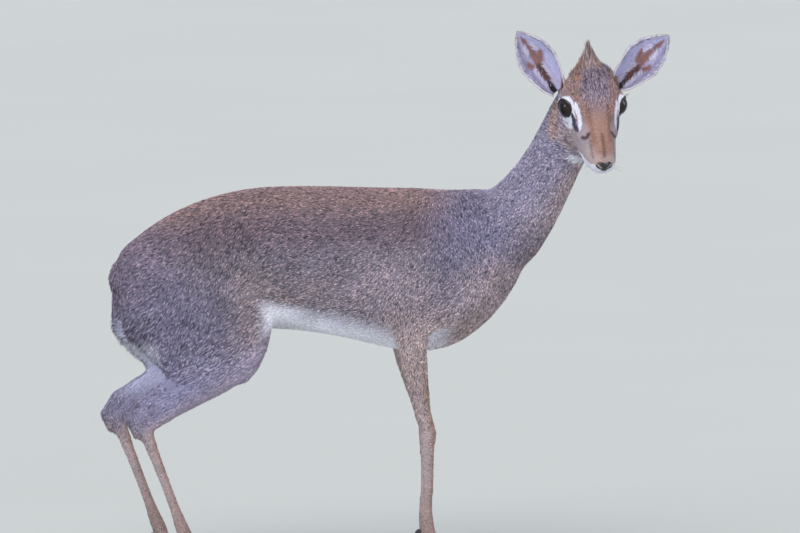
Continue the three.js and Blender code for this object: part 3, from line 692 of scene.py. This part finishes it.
skin_mesh = make_skin()
skin_places, skin_normals = vertices_of(skin_mesh), normals_of(skin_mesh)
colour_points(skin_mesh, coat_colour(skin_places, skin_normals) * 0.8)


def unwrapped_copy(mesh):
    """A coarse copy of the skin laid out flat, which gives each root its place on the flat layout."""
    coarse = finished(mesh.copy(), ("REMESH", {"mode": "VOXEL", "voxel_size": LAYOUT_GRAIN * MM}))
    sheet = bpy.data.objects.new("layout", coarse)
    bpy.context.scene.collection.objects.link(sheet)
    bpy.context.view_layer.objects.active = sheet
    sheet.select_set(True)
    bpy.ops.object.mode_set(mode="EDIT")
    bpy.ops.mesh.select_all(action="SELECT")
    bpy.ops.mesh.quads_convert_to_tris()
    bpy.ops.uv.smart_project(angle_limit=radians(66), island_margin=0.004)
    bpy.ops.object.mode_set(mode="OBJECT")
    flat = np.empty(len(coarse.loops) * 2)
    coarse.uv_layers.active.data.foreach_get("uv", flat)
    corners = np.empty(len(coarse.loops), np.int64)
    coarse.loops.foreach_get("vertex_index", corners)
    bpy.data.objects.remove(sheet)
    return vertices_of(coarse), corners.reshape(-1, 3), flat.reshape(-1, 3, 2)


layout_places, layout_faces, layout_flat = unwrapped_copy(skin_mesh)
layout_tree = BVHTree.FromPolygons(layout_places.tolist(), layout_faces.tolist(), all_triangles=True)


def flat_places(points):
    """Where points of the skin lie on its flat layout."""
    found = [layout_tree.find_nearest(point) for point in points.tolist()]
    faces = np.array([hit[2] for hit in found])
    nearest = np.array([hit[0] for hit in found])
    a, b, c = (layout_places[layout_faces[faces, k]] for k in range(3))
    ab, ac, ap = b - a, c - a, nearest - a
    d00, d01, d11 = (ab * ab).sum(1), (ab * ac).sum(1), (ac * ac).sum(1)
    d20, d21 = (ap * ab).sum(1), (ap * ac).sum(1)
    scale = np.maximum(d00 * d11 - d01 * d01, 1e-20)
    v = (d11 * d20 - d01 * d21) / scale
    w = (d00 * d21 - d01 * d20) / scale
    shares = np.stack([1 - v - w, v, w], 1)
    return (layout_flat[faces] * shares[:, :, None]).sum(1)


# ---------------------------------------------------------------- locks of hair

def locks(name, roots, normals, lie, long, wide, colours, hair, rise, droop, rings=2, sway=None, sink=0.5,
          flat=None):
    """Closed tapered locks, bent along their lie.

    Sizes are in millimetres, and the colours have one row for each ring and one for the tip.
    """
    count = len(roots)
    long = np.broadcast_to(long, count) * MM
    wide = np.broadcast_to(wide, count) * MM
    sway = np.zeros(count) if sway is None else sway
    across = np.cross(normals, lie)
    way = np.append(np.arange(rings) / rings, 1.0)
    spread = np.append(0.8 + 0.25 * np.sin(way[:-1] * pi), 0.0)
    corners = []
    for k, share in enumerate(way):
        bend = normals * (rise * share - droop * share ** 2) + across * (sway * share ** 2)[:, None]
        spine = roots - normals * sink * MM + long[:, None] * (lie * share + bend)
        if k == rings:
            corners.append(spine[:, None])
        else:
            half = across * (wide * spread[k] / 2)[:, None]
            top = normals * (wide * 0.3 * spread[k])[:, None]
            corners.append(np.stack([spine + half, spine - half, spine + top], 1))
    places = np.concatenate(corners, 1)
    each = places.shape[1]
    faces = [(0, 1, 2)]
    for k in range(rings - 1):
        a, b, c = 3 * k, 3 * k + 1, 3 * k + 2
        d, e, f = a + 3, b + 3, c + 3
        faces += [(a, d, e), (a, e, b), (b, e, f), (b, f, c), (c, f, d), (c, d, a)]
    a, b, c, tip = each - 4, each - 3, each - 2, each - 1
    faces += [(a, tip, b), (b, tip, c), (c, tip, a)]
    corner = (np.arange(count)[:, None, None] * each + np.array(faces)[None]).reshape(-1)
    mesh = bpy.data.meshes.new(name)
    mesh.vertices.add(count * each)
    mesh.vertices.foreach_set("co", places.astype(np.float32).ravel())
    mesh.loops.add(len(corner))
    mesh.loops.foreach_set("vertex_index", corner.astype(np.int32))
    mesh.polygons.add(len(corner) // 3)
    mesh.polygons.foreach_set("loop_start", np.arange(0, len(corner), 3, dtype=np.int32))
    mesh.update(calc_edges=True)
    ring_of = np.minimum(np.arange(each) // 3, rings)
    colour_points(mesh, colours[:, ring_of].reshape(-1, 3))
    patch = np.array([((-1, 1, 0)[i % 3] * (1 - 0.5 * way[r]) if r < rings else 0, 2 * way[r] - 1)
                      for i, r in enumerate(ring_of)]) * PATCH / 2
    at = flat_places(roots) if flat is None else flat
    layer = mesh.uv_layers.new(name="OFBake")
    layer.data.foreach_set("uv", (at[:, None] + patch).reshape(-1, 2)[corner].astype(np.float32).ravel())
    piece(name, mesh, hair)


def skin_faces():
    skin_mesh.calc_loop_triangles()
    corners = np.empty(len(skin_mesh.loop_triangles) * 3, np.int64)
    skin_mesh.loop_triangles.foreach_get("vertices", corners)
    corners = corners.reshape(-1, 3)
    a, b, c = (skin_places[corners[:, k]] for k in range(3))
    return corners, np.linalg.norm(np.cross(b - a, c - a), axis=1) / 2


skin_corners, skin_areas = skin_faces()
face_middles = skin_places[skin_corners].mean(1)


def scattered(weight, count):
    """Root points spread over the skin, with their normals."""
    share = weight * skin_areas
    picked = draw.choice(len(share), count, p=share / share.sum())
    u, v = draw.random((2, count))
    over = u + v > 1
    u[over], v[over] = 1 - u[over], 1 - v[over]
    shares = np.stack([1 - u - v, u, v], 1)[:, :, None]
    corners = skin_corners[picked]
    return (skin_places[corners] * shares).sum(1), unit((skin_normals[corners] * shares).sum(1))


def bare(points):
    """True between the lids and on the nose pad, where no hair grows."""
    places = in_head(points)
    hit = past_the_lids(points)[0] < 1.0
    nose = np.linalg.norm((places - NOSE_PAD["place"]) / NOSE_PAD["bare"], axis=1) < 1
    return hit | nose


def turned(lie, normals, spread):
    """The lie with each lock turned a little aside."""
    angle = draw.normal(0, spread, len(lie))[:, None]
    return unit(lie * np.cos(angle) + np.cross(normals, lie) * np.sin(angle))


def ringed(points, normals):
    """Colours of single locks: darker at the root, then light or dark to the tip, each its own."""
    base = coat_colour(points, normals)
    tick = ticked(points, base)[:, None]
    shade = draw.normal(0, 1, (len(points), 1))
    own = 1 + tick * (0.46 * shade + draw.normal(0, 0.16, shade.shape)) + draw.normal(0, 0.05, shade.shape)
    own = np.clip(own, 0.3, 2.0) * (1 + tick * np.clip(shade, -1.5, 1.5) * (0.06, 0.0, -0.08))
    root = base * (1 - 0.45 * tick)
    band = base * own * (1 + 0.15 * tick)
    tip = base * own * (1 + 0.4 * tick * np.sign(shade))
    return np.clip(np.stack([root, band, tip], 1), 0.002, 0.95)


def grown(part, weight, long, wide, hair, rise, spread=0.16, split=(1.0, 0, 0)):
    """Grows the coat of one part of the skin, parted across one direction into pieces of few enough locks."""
    count = LOCKS[part]
    points, normals = scattered(weight, count)
    kept = ~bare(points)
    points, normals = points[kept], normals[kept]
    order = np.argsort(points @ np.array(split))
    points, normals = points[order], normals[order]
    colours = ringed(points, normals)
    pieces = -(-len(points) // LOCKS_IN_A_PIECE)
    for number, some in enumerate(np.array_split(np.arange(len(points)), pieces)):
        p, n = points[some], normals[some]
        lie = turned(lie_of(p, n), n, spread)
        length = long(p) * draw.uniform(0.75, 1.25, len(p))
        length *= 0.35 + 0.65 * ramp(past_the_lids(p)[0], 1, 7)
        width = wide * draw.uniform(0.8, 1.2, len(p))
        label = f"coat_{part}" if pieces == 1 else f"coat_{part}_{number + 1}"
        up = rise(p)[:, None] if callable(rise) else rise
        locks(label, p, n, lie, length, width, colours[some], hair, up, 0.5 * up,
              sway=draw.normal(0, 0.08, len(p)))


def body_length(points):
    """Longer towards the rump, and longest where the white fringe of the thighs hangs."""
    x, _, z = (points / MM).T
    fringe = ramp(-x, 240, 265) * ramp(z, 204, 224) * (1 - ramp(z, 262, 290))
    return 4.8 + 1.0 * ramp(-x, 60, 150) + 8.0 * fringe


def crown_length(points):
    return 4.2 + 5.0 * spot(in_head(points), (-12, 0, 30), (17, 26, 12), 0.6)


def crown_rise(points):
    return 0.28 + 0.5 * spot(in_head(points), (-14, 0, 30), (15, 26, 12), 0.5)


def leg_length(points):
    return 4.2 + 2.8 * ramp(points[:, 2] / MM, 100, 230)


def face_length(points):
    """Shorter towards the nose."""
    return 3.6 - 1.8 * ramp(in_head(points)[:, 0], 60, 80)


on_head = head_share(face_middles)
height = face_middles[:, 2] / MM
on_trunk = ramp(height, 200, 240)
on_muzzle = ramp(in_head(face_middles)[:, 0], 10, 30)
grown("body", (1 - on_head) * on_trunk, body_length, 1.15, HAIR, 0.3)
grown("legs", (1 - on_head) * (1 - on_trunk) * ramp(height, 30, 44), leg_length, 0.85, HAIR, 0.22,
      0.18, split=(0.4, 1, 0))
grown("crown", on_head * (1 - on_muzzle), crown_length, 0.7, FACE_HAIR, crown_rise)
grown("face", on_head * on_muzzle, face_length, 0.55, FACE_HAIR, 0.22)

piece("skin", skin_mesh, SKIN, FLESH)

# ---------------------------------------------------------------- eyes, lids, nose


def make_eye(side_name, side):
    """A wet dark ball, its clear front a little proud."""
    axes, centre = eye_axes(side)
    bm = bmesh.new()
    bmesh.ops.create_uvsphere(bm, u_segments=48, v_segments=32, radius=1)
    mesh = mesh_from(bm, "eyeball")
    local = vertices_of(mesh)
    bulge = 1 + 0.05 * ramp(local[:, 2], 0.72, 0.98)
    set_vertices(mesh, from_head(centre + (local * (EYE["radius"] * bulge)[:, None]) @ axes))
    gaze = mesh.attributes.new("gaze", "FLOAT_VECTOR", "POINT")
    gaze.data.foreach_set("vector", local.astype(np.float32).ravel())
    if np.linalg.det(axes) < 0:
        mesh.flip_normals()
    piece(f"eyeball_{side_name}", mesh, EYE_DARK, [f"eye_{side_name}"])


def make_lids(side_name, side):
    """The dark bare edge of the lids, a thin roll round the opening."""
    axes, centre = eye_axes(side)
    bm = bmesh.new()
    upright = Matrix.Translation((1, 0, 0)) @ Matrix.Rotation(pi / 2, 4, "X")
    bmesh.ops.create_circle(bm, segments=8, radius=0.2, matrix=upright)
    bmesh.ops.spin(bm, geom=bm.verts[:] + bm.edges[:], cent=(0, 0, 0), axis=(0, 0, 1), angle=2 * pi,
                   steps=72, use_merge=True)
    bmesh.ops.remove_doubles(bm, verts=bm.verts, dist=1e-5)
    bmesh.ops.recalc_face_normals(bm, faces=bm.faces)
    mesh = mesh_from(bm, "lids")
    x, y, z = vertices_of(mesh).T
    angle, out = np.arctan2(y, x), np.hypot(x, y) - 1
    edge = opening_edge(angle) + 0.2 + out * 4.2
    radius = EYE["radius"] + 0.4 + z * 3.6
    depth = np.sqrt(np.maximum(radius ** 2 - edge ** 2, 1.0))
    local = np.stack([edge * np.cos(angle), edge * np.sin(angle), depth], 1)
    set_vertices(mesh, from_head(centre + local @ axes))
    if np.linalg.det(axes) < 0:
        mesh.flip_normals()
    piece(f"lids_{side_name}", mesh, LID)


def make_nose():
    """The bare pad: two slanting nostrils over a groove."""
    bm = bmesh.new()
    forward = Matrix.Rotation(pi / 2, 4, "X")
    bmesh.ops.create_uvsphere(bm, u_segments=56, v_segments=40, radius=1, matrix=forward)
    mesh = mesh_from(bm, "nose_pad")
    local = vertices_of(mesh)
    places = local * NOSE_PAD["size"] + NOSE_PAD["place"]
    x, y, z = places.T
    side = np.abs(y)
    front = x > 76
    places[:, 2] += 1.2 * ramp(side, 1, 5) - 1.6 * (1 - ramp(side, 0, 4)) * ramp(-local[:, 2], -0.2, 0.8)
    hole = stroke(np.stack([side, z], 1), [(3.2, -15.2), (6.6, -12.6)], 0.7, 1.4)
    places[:, 0] -= 3.4 * hole * front
    places[:, 0] -= (1 - ramp(side, 0.1, 1.0)) * front
    set_vertices(mesh, from_head(places))
    piece("nose_pad", mesh, NOSE, ["nose"])


for side_name, side in SIDES:
    make_eye(side_name, side)
    make_lids(side_name, side)
make_nose()


# ---------------------------------------------------------------- ears

# The ear from root to tip: how far along, its half width as a share of the widest, and how far it curls
LEAF = [(0, 0.36, 1.9), (0.12, 0.6, 1.7), (0.3, 0.84, 1.2), (0.5, 1, 0.85), (0.7, 0.86, 0.65),
        (0.88, 0.47, 0.5), (0.97, 0.18, 0.45), (1, 0.03, 0.4)]
# Rows of long hairs in the cup: place across, from and to along the ear, and the way they lean
FRINGE_ROWS = [(-0.24, 0.06, 0.4, -1), (-0.85, 0.05, 0.7, 1), (0.5, 0.06, 0.4, 1), (0.42, 0.58, 0.74, 1),
               (0.78, 0.15, 0.75, -1), (-0.42, 0.6, 0.74, -1)]


def ear_surface(side_name, across, way, lift=0.0):
    """Points of the cup in the head's frame: across from -1 to 1, way from 0 to 1, lifted off its hollow."""
    ear = EARS[side_name]
    reach = np.array(ear["reach"], float)
    up = unit(reach)
    front = np.array(ear["facing"], float)
    front = unit(front - up * (front @ up))
    over = np.cross(up, front)
    keys = np.array(LEAF)
    fine = np.linspace(0, 1, 101)

    def eased(k):
        padded = np.pad(np.interp(fine, keys[:, 0], keys[:, k]), 3, mode="edge")
        return np.interp(way, fine, np.convolve(padded, np.ones(7) / 7, "valid"))

    wide, curl = eased(1), eased(2)
    radius = wide * EAR_WIDTH / np.sin(np.minimum(curl, pi / 2))
    angle = across * curl
    r = radius - lift
    return (np.array(ear["root"]) + way[:, None] * reach + (r * np.sin(angle))[:, None] * over +
            (radius - r * np.cos(angle) - 5 * np.sin(pi * way))[:, None] * front)


def ear_colour(across, way, inside, outer):
    """A red-brown stalk with side branches on lilac, a dark line and a pale rim; fawn behind."""
    rim = np.abs(across)
    out = across * outer
    colour = np.tile(tone(186, 182, 216), (len(way), 1))
    colour = laid(colour, ramp(out, 0.3, 0.7), tone(150, 144, 174))
    flat = np.stack([out, 3 * way, 0 * way], 1)

    def vein(line, width, soft):
        return stroke(flat, [(place, 3 * share, 0) for place, share in line], width, soft)

    foot = vein([(0.28, 0.0), (0.2, 0.16), (0.11, 0.36)], 0.1, 0.22)
    upper = vein([(0.16, 0.22), (0.02, 0.48), (0.0, 0.68), (0.04, 0.84)], 0.1, 0.26)
    branches = [(0.1, 0.3), (0.5, 0.5)], [(0.04, 0.38), (-0.36, 0.58)], [(0.0, 0.55), (0.3, 0.68)]
    sides = np.max([vein(branch, 0.04, 0.2) for branch in branches], axis=0)
    colour = laid(colour, 0.9 * np.maximum(upper, sides), tone(140, 92, 76))
    colour = laid(colour, 0.9 * foot, tone(84, 58, 54))
    colour = laid(colour, vein([(0.27, 0.0), (0.25, 0.08)], 0.12, 0.16), BLACK)
    colour = laid(colour, ramp(rim, 0.82, 0.88) * (1 - ramp(rim, 0.9, 0.95)), tone(104, 88, 96))
    colour = laid(colour, ramp(rim, 0.91, 0.96), tone(236, 230, 234))
    behind = laid(np.tile(tone(146, 128, 122), (len(way), 1)), 1 - ramp(way, 0.1, 0.5), tone(164, 132, 112))
    behind = laid(behind, ramp(rim, 0.9, 1), tone(208, 200, 204))
    return np.where(inside[:, None], colour, behind)


def make_ear(side_name):
    """A thin leaf of gristle, cupped, with skin on both faces."""
    bm = bmesh.new()
    bmesh.ops.create_grid(bm, x_segments=44, y_segments=56, size=1)
    mesh = mesh_from(bm, "leaf")
    grid = vertices_of(mesh)
    across, way = grid[:, 0], (grid[:, 1] + 1) / 2
    outer = 1 if side_name == "left" else -1
    set_vertices(mesh, from_head(ear_surface(side_name, across, way)))
    keep = mesh.attributes.new("leaf", "FLOAT_VECTOR", "POINT")
    keep.data.foreach_set("vector", np.stack([across, way, 0 * way], 1).astype(np.float32).ravel())
    mesh = finished(mesh, ("SOLIDIFY", {"thickness": 0.0016, "offset": 0.0, "use_rim": True}))
    values = np.empty(len(mesh.vertices) * 3, np.float32)
    mesh.attributes["leaf"].data.foreach_get("vector", values)
    across, way, _ = values.reshape(-1, 3).T.astype(float)
    places = in_head(vertices_of(mesh))
    lift = np.linalg.norm(places - ear_surface(side_name, across, way, 1.0), axis=1)
    inside = lift < np.linalg.norm(places - ear_surface(side_name, across, way, -1.0), axis=1)
    colour_points(mesh, ear_colour(across, way, inside, outer))
    piece(f"ear_leaf_{side_name}", mesh, EAR_SKIN, [f"ear_{side_name}"])


def ear_frame(side_name, across, way):
    """Points, normals towards the hollow, and the way to the tip."""
    step = 0.01
    here = ear_surface(side_name, across, way)
    ahead = ear_surface(side_name, across, np.minimum(way + step, 1))
    up = unit(ahead - ear_surface(side_name, across, way - step))
    normal = unit(ear_surface(side_name, across, way, 1.0) - here)
    return from_head(here), unit(normal @ head_axes.T), unit(up @ head_axes.T)


def ear_hair(side_name):
    """Down in the hollow, a flat coat behind, long pale hairs in rows, and a pale rim."""
    outer = 1 if side_name == "left" else -1
    at = flat_places(from_head(np.array([EARS[side_name]["root"]], float)))[0]

    def grow(label, count, across, way, long, wide, face, rise, aside, pale=None):
        points, normals, up = ear_frame(side_name, across, way)
        normals = normals * face
        points = points + normals * 0.0008
        lie = unit(up + aside[:, None] * np.cross(normals, up))
        colour = ear_colour(across, way, np.full(count, face > 0), outer) if pale is None else pale
        own = draw.uniform(0.78, 1.22, (count, 1))
        colours = np.clip(np.stack([colour * 0.8, colour * own, colour * own * 1.1], 1), 0.002, 0.95)
        flat = at + np.stack([across * 0.02, way * 0.06], 1)
        locks(f"{label}_{side_name}", points, normals, lie, long * draw.uniform(0.7, 1.3, count), wide, colours,
              FACE_HAIR, rise, 0.6 * rise, sink=0.3, flat=flat)

    count = LOCKS["ear_face"]
    across, way = draw.uniform(-0.96, 0.96, count), draw.uniform(0.04, 0.97, count)
    grow("ear_down", count, across, way, 3.6, 0.55, 1, 0.25, draw.normal(0, 0.25, count))
    across, way = draw.uniform(-1, 1, count), draw.uniform(0.02, 0.97, count)
    grow("ear_back", count, across, way, 4.2, 0.6, -1, 0.22, draw.normal(0, 0.25, count))
    # Long pale hairs fan out from the stalk, and along both edges
    in_row = LOCKS["ear_fringe_row"]
    across = np.concatenate([draw.normal(row * outer, 0.06, in_row) for row, _, _, _ in FRINGE_ROWS])
    way = np.concatenate([draw.uniform(low, high, in_row) for _, low, high, _ in FRINGE_ROWS])
    fan = np.repeat([lean * outer for _, _, _, lean in FRINGE_ROWS], in_row)
    count = len(way)
    grow("ear_fringe", count, np.clip(across, -0.96, 0.96), way, 6.5, 0.5, 1, 0.35,
         0.7 * fan + draw.normal(0, 0.25, count), np.tile(tone(206, 198, 220), (count, 1)))
    count = LOCKS["ear_rim"]
    across = draw.choice([-1, 1], count) * draw.uniform(0.96, 1.0, count)
    way = draw.uniform(0.03, 0.99, count)
    grow("ear_rim", count, across, way, 3.2, 0.5, 1, 0.15, draw.normal(0, 0.3, count) + np.sign(across) * 0.5,
         np.tile(tone(226, 220, 222), (count, 1)))


for side_name in EARS:
    make_ear(side_name)
    ear_hair(side_name)

# ---------------------------------------------------------------- crest, lashes and whiskers


def make_crest():
    """Fine pointed locks: the middle ones rise to one tip, those at the sides are ever shorter."""
    count = LOCKS["crest"]
    root, reach = np.array(CREST["root"], float), np.array(CREST["reach"], float)
    angle = draw.uniform(0, 2 * pi, count)
    ring = draw.random(count) ** 0.7
    wide = np.abs(np.sin(angle))
    out = np.stack([0.62 * np.cos(angle), np.sin(angle), 0.2 * np.cos(angle)], 1)
    edge = CREST["half_width"] * (1 + 0.55 * wide)
    start = root + out * (ring * edge)[:, None]
    start[:, 2] += 4 - 9 * (np.abs(start[:, 1] - root[1]) / 24) ** 2
    far = ring * edge / CREST["half_width"]
    high = np.interp(far, [0, 0.3, 0.65, 1.0, 1.3, 1.55], [1.0, 0.9, 0.68, 0.46, 0.28, 0.13])
    high *= 1 - 0.22 * draw.random(count)
    shrink = np.interp(high, [0.12, 0.45, 0.62, 0.8, 1], [1.0, 0.95, 0.84, 0.64, 0.2])
    tip = root + reach * high[:, None] + out * (ring * edge * shrink)[:, None]
    tip += draw.normal(0, 0.6, (count, 3))
    run = tip - start
    lie = unit(run)
    normals = unit(out - lie * (out * lie).sum(1)[:, None] + 1e-4)
    rufous = ramp(wide * ring, 0.3, 0.75)[:, None]
    shades = np.array([tone(176, 154, 154), tone(112, 94, 96), tone(216, 194, 186), tone(154, 130, 126)])
    base = shades[draw.integers(0, 4, count)]
    base = base + 0.75 * rufous * (tone(190, 142, 116) - base)
    base = base * draw.uniform(0.75, 1.25, (count, 1))
    skin_tone = head_colour(from_head(start)) * draw.uniform(0.75, 1.25, (count, 1))
    bands = np.stack([(skin_tone + share * (base - skin_tone)) * bright for share, bright in
                      ((0.1, 0.8), (0.4, 1.0), (0.75, 1.15), (1.0, 1.05), (1.0, 0.75))], 1)
    locks("crest", from_head(start), unit(normals @ head_axes.T), unit(lie @ head_axes.T),
          np.linalg.norm(run, axis=1), 0.8, np.clip(bands, 0.002, 0.95), HAIR, 0.08, 0.08, rings=4,
          sway=draw.normal(0, 0.03, count))


def make_ear_roots():
    """Longer hairs that climb from the head on to the foot of each ear."""
    count = LOCKS["ear_root"]
    for side_name, ear in EARS.items():
        root, reach = np.array(ear["root"], float), np.array(ear["reach"], float)
        far = np.linalg.norm(in_head(face_middles) - root, axis=1)
        points, normals = scattered(1 - ramp(far, 8, 15), count)
        local = in_head(points)
        goal = root + reach * 0.3 + 0.5 * (local - root)
        lie = unit(unit(goal - local) @ head_axes.T - 0.35 * normals)
        below = ramp(root[2] - local[:, 2], -2, 7)[:, None]
        base = tone(176, 134, 112) * (1 - below) + tone(196, 190, 202) * below
        base = base * draw.uniform(0.7, 1.2, (count, 1))
        bands = np.clip(np.stack([base * 0.7, base, base * 1.1], 1), 0.002, 0.95)
        across = unit(np.cross(lie, normals))
        locks(f"ear_root_{side_name}", points, unit(np.cross(across, lie)), lie, draw.uniform(5, 9, count), 0.6,
              bands, FACE_HAIR, 0.1, 0.2)


def make_lashes():
    """Dark lashes along the outer half of each upper lid."""
    count = LOCKS["lashes"]
    shade = np.tile(BLACK, (count, 5, 1))
    for side_name, side in SIDES:
        axes, centre = eye_axes(side)
        upper = draw.uniform(radians(80), radians(170), count)
        edge = opening_edge(upper) + 0.6
        local = np.stack([edge * np.cos(upper), edge * np.sin(upper), np.sqrt(14.0 ** 2 - edge ** 2)], 1)
        points = centre + local @ axes
        sweep = axes[1] * 3 - axes[0] * 5 + axes[2] * 4
        lie = unit(local @ axes * 0.5 + sweep + draw.normal(0, 0.8, (count, 3)))
        normals = unit(np.cross(lie, axes[0]))
        locks(f"lashes_{side_name}", from_head(points), unit(normals @ head_axes.T), unit(lie @ head_axes.T),
              draw.uniform(3, 6, count), 0.22, shade, FACE_HAIR, 0.1, -0.25, rings=4)


def make_whiskers():
    """Sparse pale whiskers on both sides of the muzzle."""
    count = LOCKS["whiskers"]
    side = draw.choice([-1, 1], count)
    start = np.stack([draw.uniform(62, 78, count), side * draw.uniform(11, 14, count),
                      draw.uniform(-27, -13, count)], 1)
    start[:, 1] *= 1 - 0.35 * ramp(start[:, 0], 70, 78)
    lie = unit(np.stack([draw.uniform(-0.1, 0.7, count), side * 1.0, draw.uniform(-0.6, 0.1, count)], 1))
    normals = unit(np.cross(lie, (0, 0, 1.0)))
    shade = np.tile(tone(200, 192, 196), (count, 5, 1))
    locks("whiskers", from_head(start), unit(normals @ head_axes.T), unit(lie @ head_axes.T),
          draw.uniform(8, 16, count), 0.2, shade, FACE_HAIR, 0.0, 0.12, rings=4)


make_crest()
make_ear_roots()
make_lashes()
make_whiskers()

# ---------------------------------------------------------------- hooves keep the solids' shape

for name, node in nodes.items():
    if name.startswith(("hoof_", "dewclaw_")):
        node.data.materials.clear()
        node.data.materials.append(HORN)

# ---------------------------------------------------------------- floor, light and camera

# In metres: the point that the camera looks at, the way back from it, how far, and how wide the view is there
SEEN_AT = Vector((0.0223, 0.0680, 0.3200))
BACK_AWAY = Vector((-0.1212, -0.9871, 0.1045))
DISTANCE = 14.0
VIEW_WIDTH = 0.84
SENSOR = 36
FLOOR_RISE = 0.22


def make_floor():
    """A plain pale floor, flat round the animal and a little higher far out, so that it fills low views."""
    bm = bmesh.new()
    bmesh.ops.create_grid(bm, x_segments=60, y_segments=60, size=70)
    mesh = mesh_from(bm, "floor")
    places = vertices_of(mesh)
    places[:, 2] = FLOOR_RISE * ramp(np.hypot(places[:, 0], places[:, 1]), 4, 22)
    set_vertices(mesh, places)
    made, tree, shader = material("pale_floor", 0.8)
    place = put(tree, "ShaderNodeTexCoord").outputs["Object"]
    cloud = put(tree, "ShaderNodeTexNoise", Vector=place, Scale=2.0, Detail=3.0)
    colour = put(tree, "ShaderNodeMix", {"data_type": "RGBA"}, Factor=cloud.outputs["Fac"])
    colour.inputs[6].default_value = (0.50, 0.51, 0.47, 1)
    colour.inputs[7].default_value = (0.54, 0.55, 0.51, 1)
    tree.links.new(colour.outputs[2], shader.inputs["Base Color"])
    mesh.materials.append(made)
    floor = bpy.data.objects.new("floor", mesh)
    bpy.context.scene.collection.objects.link(floor)


def soft_light(name, place, strength, spread, colour):
    """Even light from one side, as from a wide cloth far away."""
    lamp = bpy.data.lights.new(name, "SUN")
    lamp.energy, lamp.angle, lamp.color = strength, radians(spread), colour
    made = bpy.data.objects.new(name, lamp)
    made.location = place
    made.rotation_euler = (-Vector(place)).to_track_quat("-Z", "Y").to_euler()
    bpy.context.scene.collection.objects.link(made)


make_floor()
soft_light("key", (-1.2, -2.6, 3.0), 1.75, 40, (1.0, 0.98, 0.96))
soft_light("front", (0.4, -3.0, 0.1), 0.62, 50, (0.86, 0.92, 1.0))
soft_light("left", (-2.6, -1.6, 0.6), 0.7, 22, (0.74, 0.86, 1.0))
soft_light("right", (2.8, -0.2, 0.5), 0.5, 24, (0.86, 0.92, 1.0))
soft_light("rim", (1.0, 2.6, 2.4), 0.9, 30, (1.0, 0.97, 0.94))

world = bpy.data.worlds.new("studio")
world.use_nodes = True
world.node_tree.nodes["Background"].inputs["Color"].default_value = (0.74, 0.82, 1.0, 1)
world.node_tree.nodes["Background"].inputs["Strength"].default_value = 0.6
bpy.context.scene.world = world
bpy.context.scene.view_settings.view_transform = "Standard"

camera = bpy.data.objects.new("camera", bpy.data.cameras.new("camera"))
camera.data.sensor_width = SENSOR
camera.data.lens = SENSOR * DISTANCE / VIEW_WIDTH
camera.data.clip_end = 120
camera.location = SEEN_AT + BACK_AWAY.normalized() * DISTANCE
camera.rotation_euler = (-BACK_AWAY).to_track_quat("-Z", "Y").to_euler()
bpy.context.scene.collection.objects.link(camera)
bpy.context.scene.camera = camera
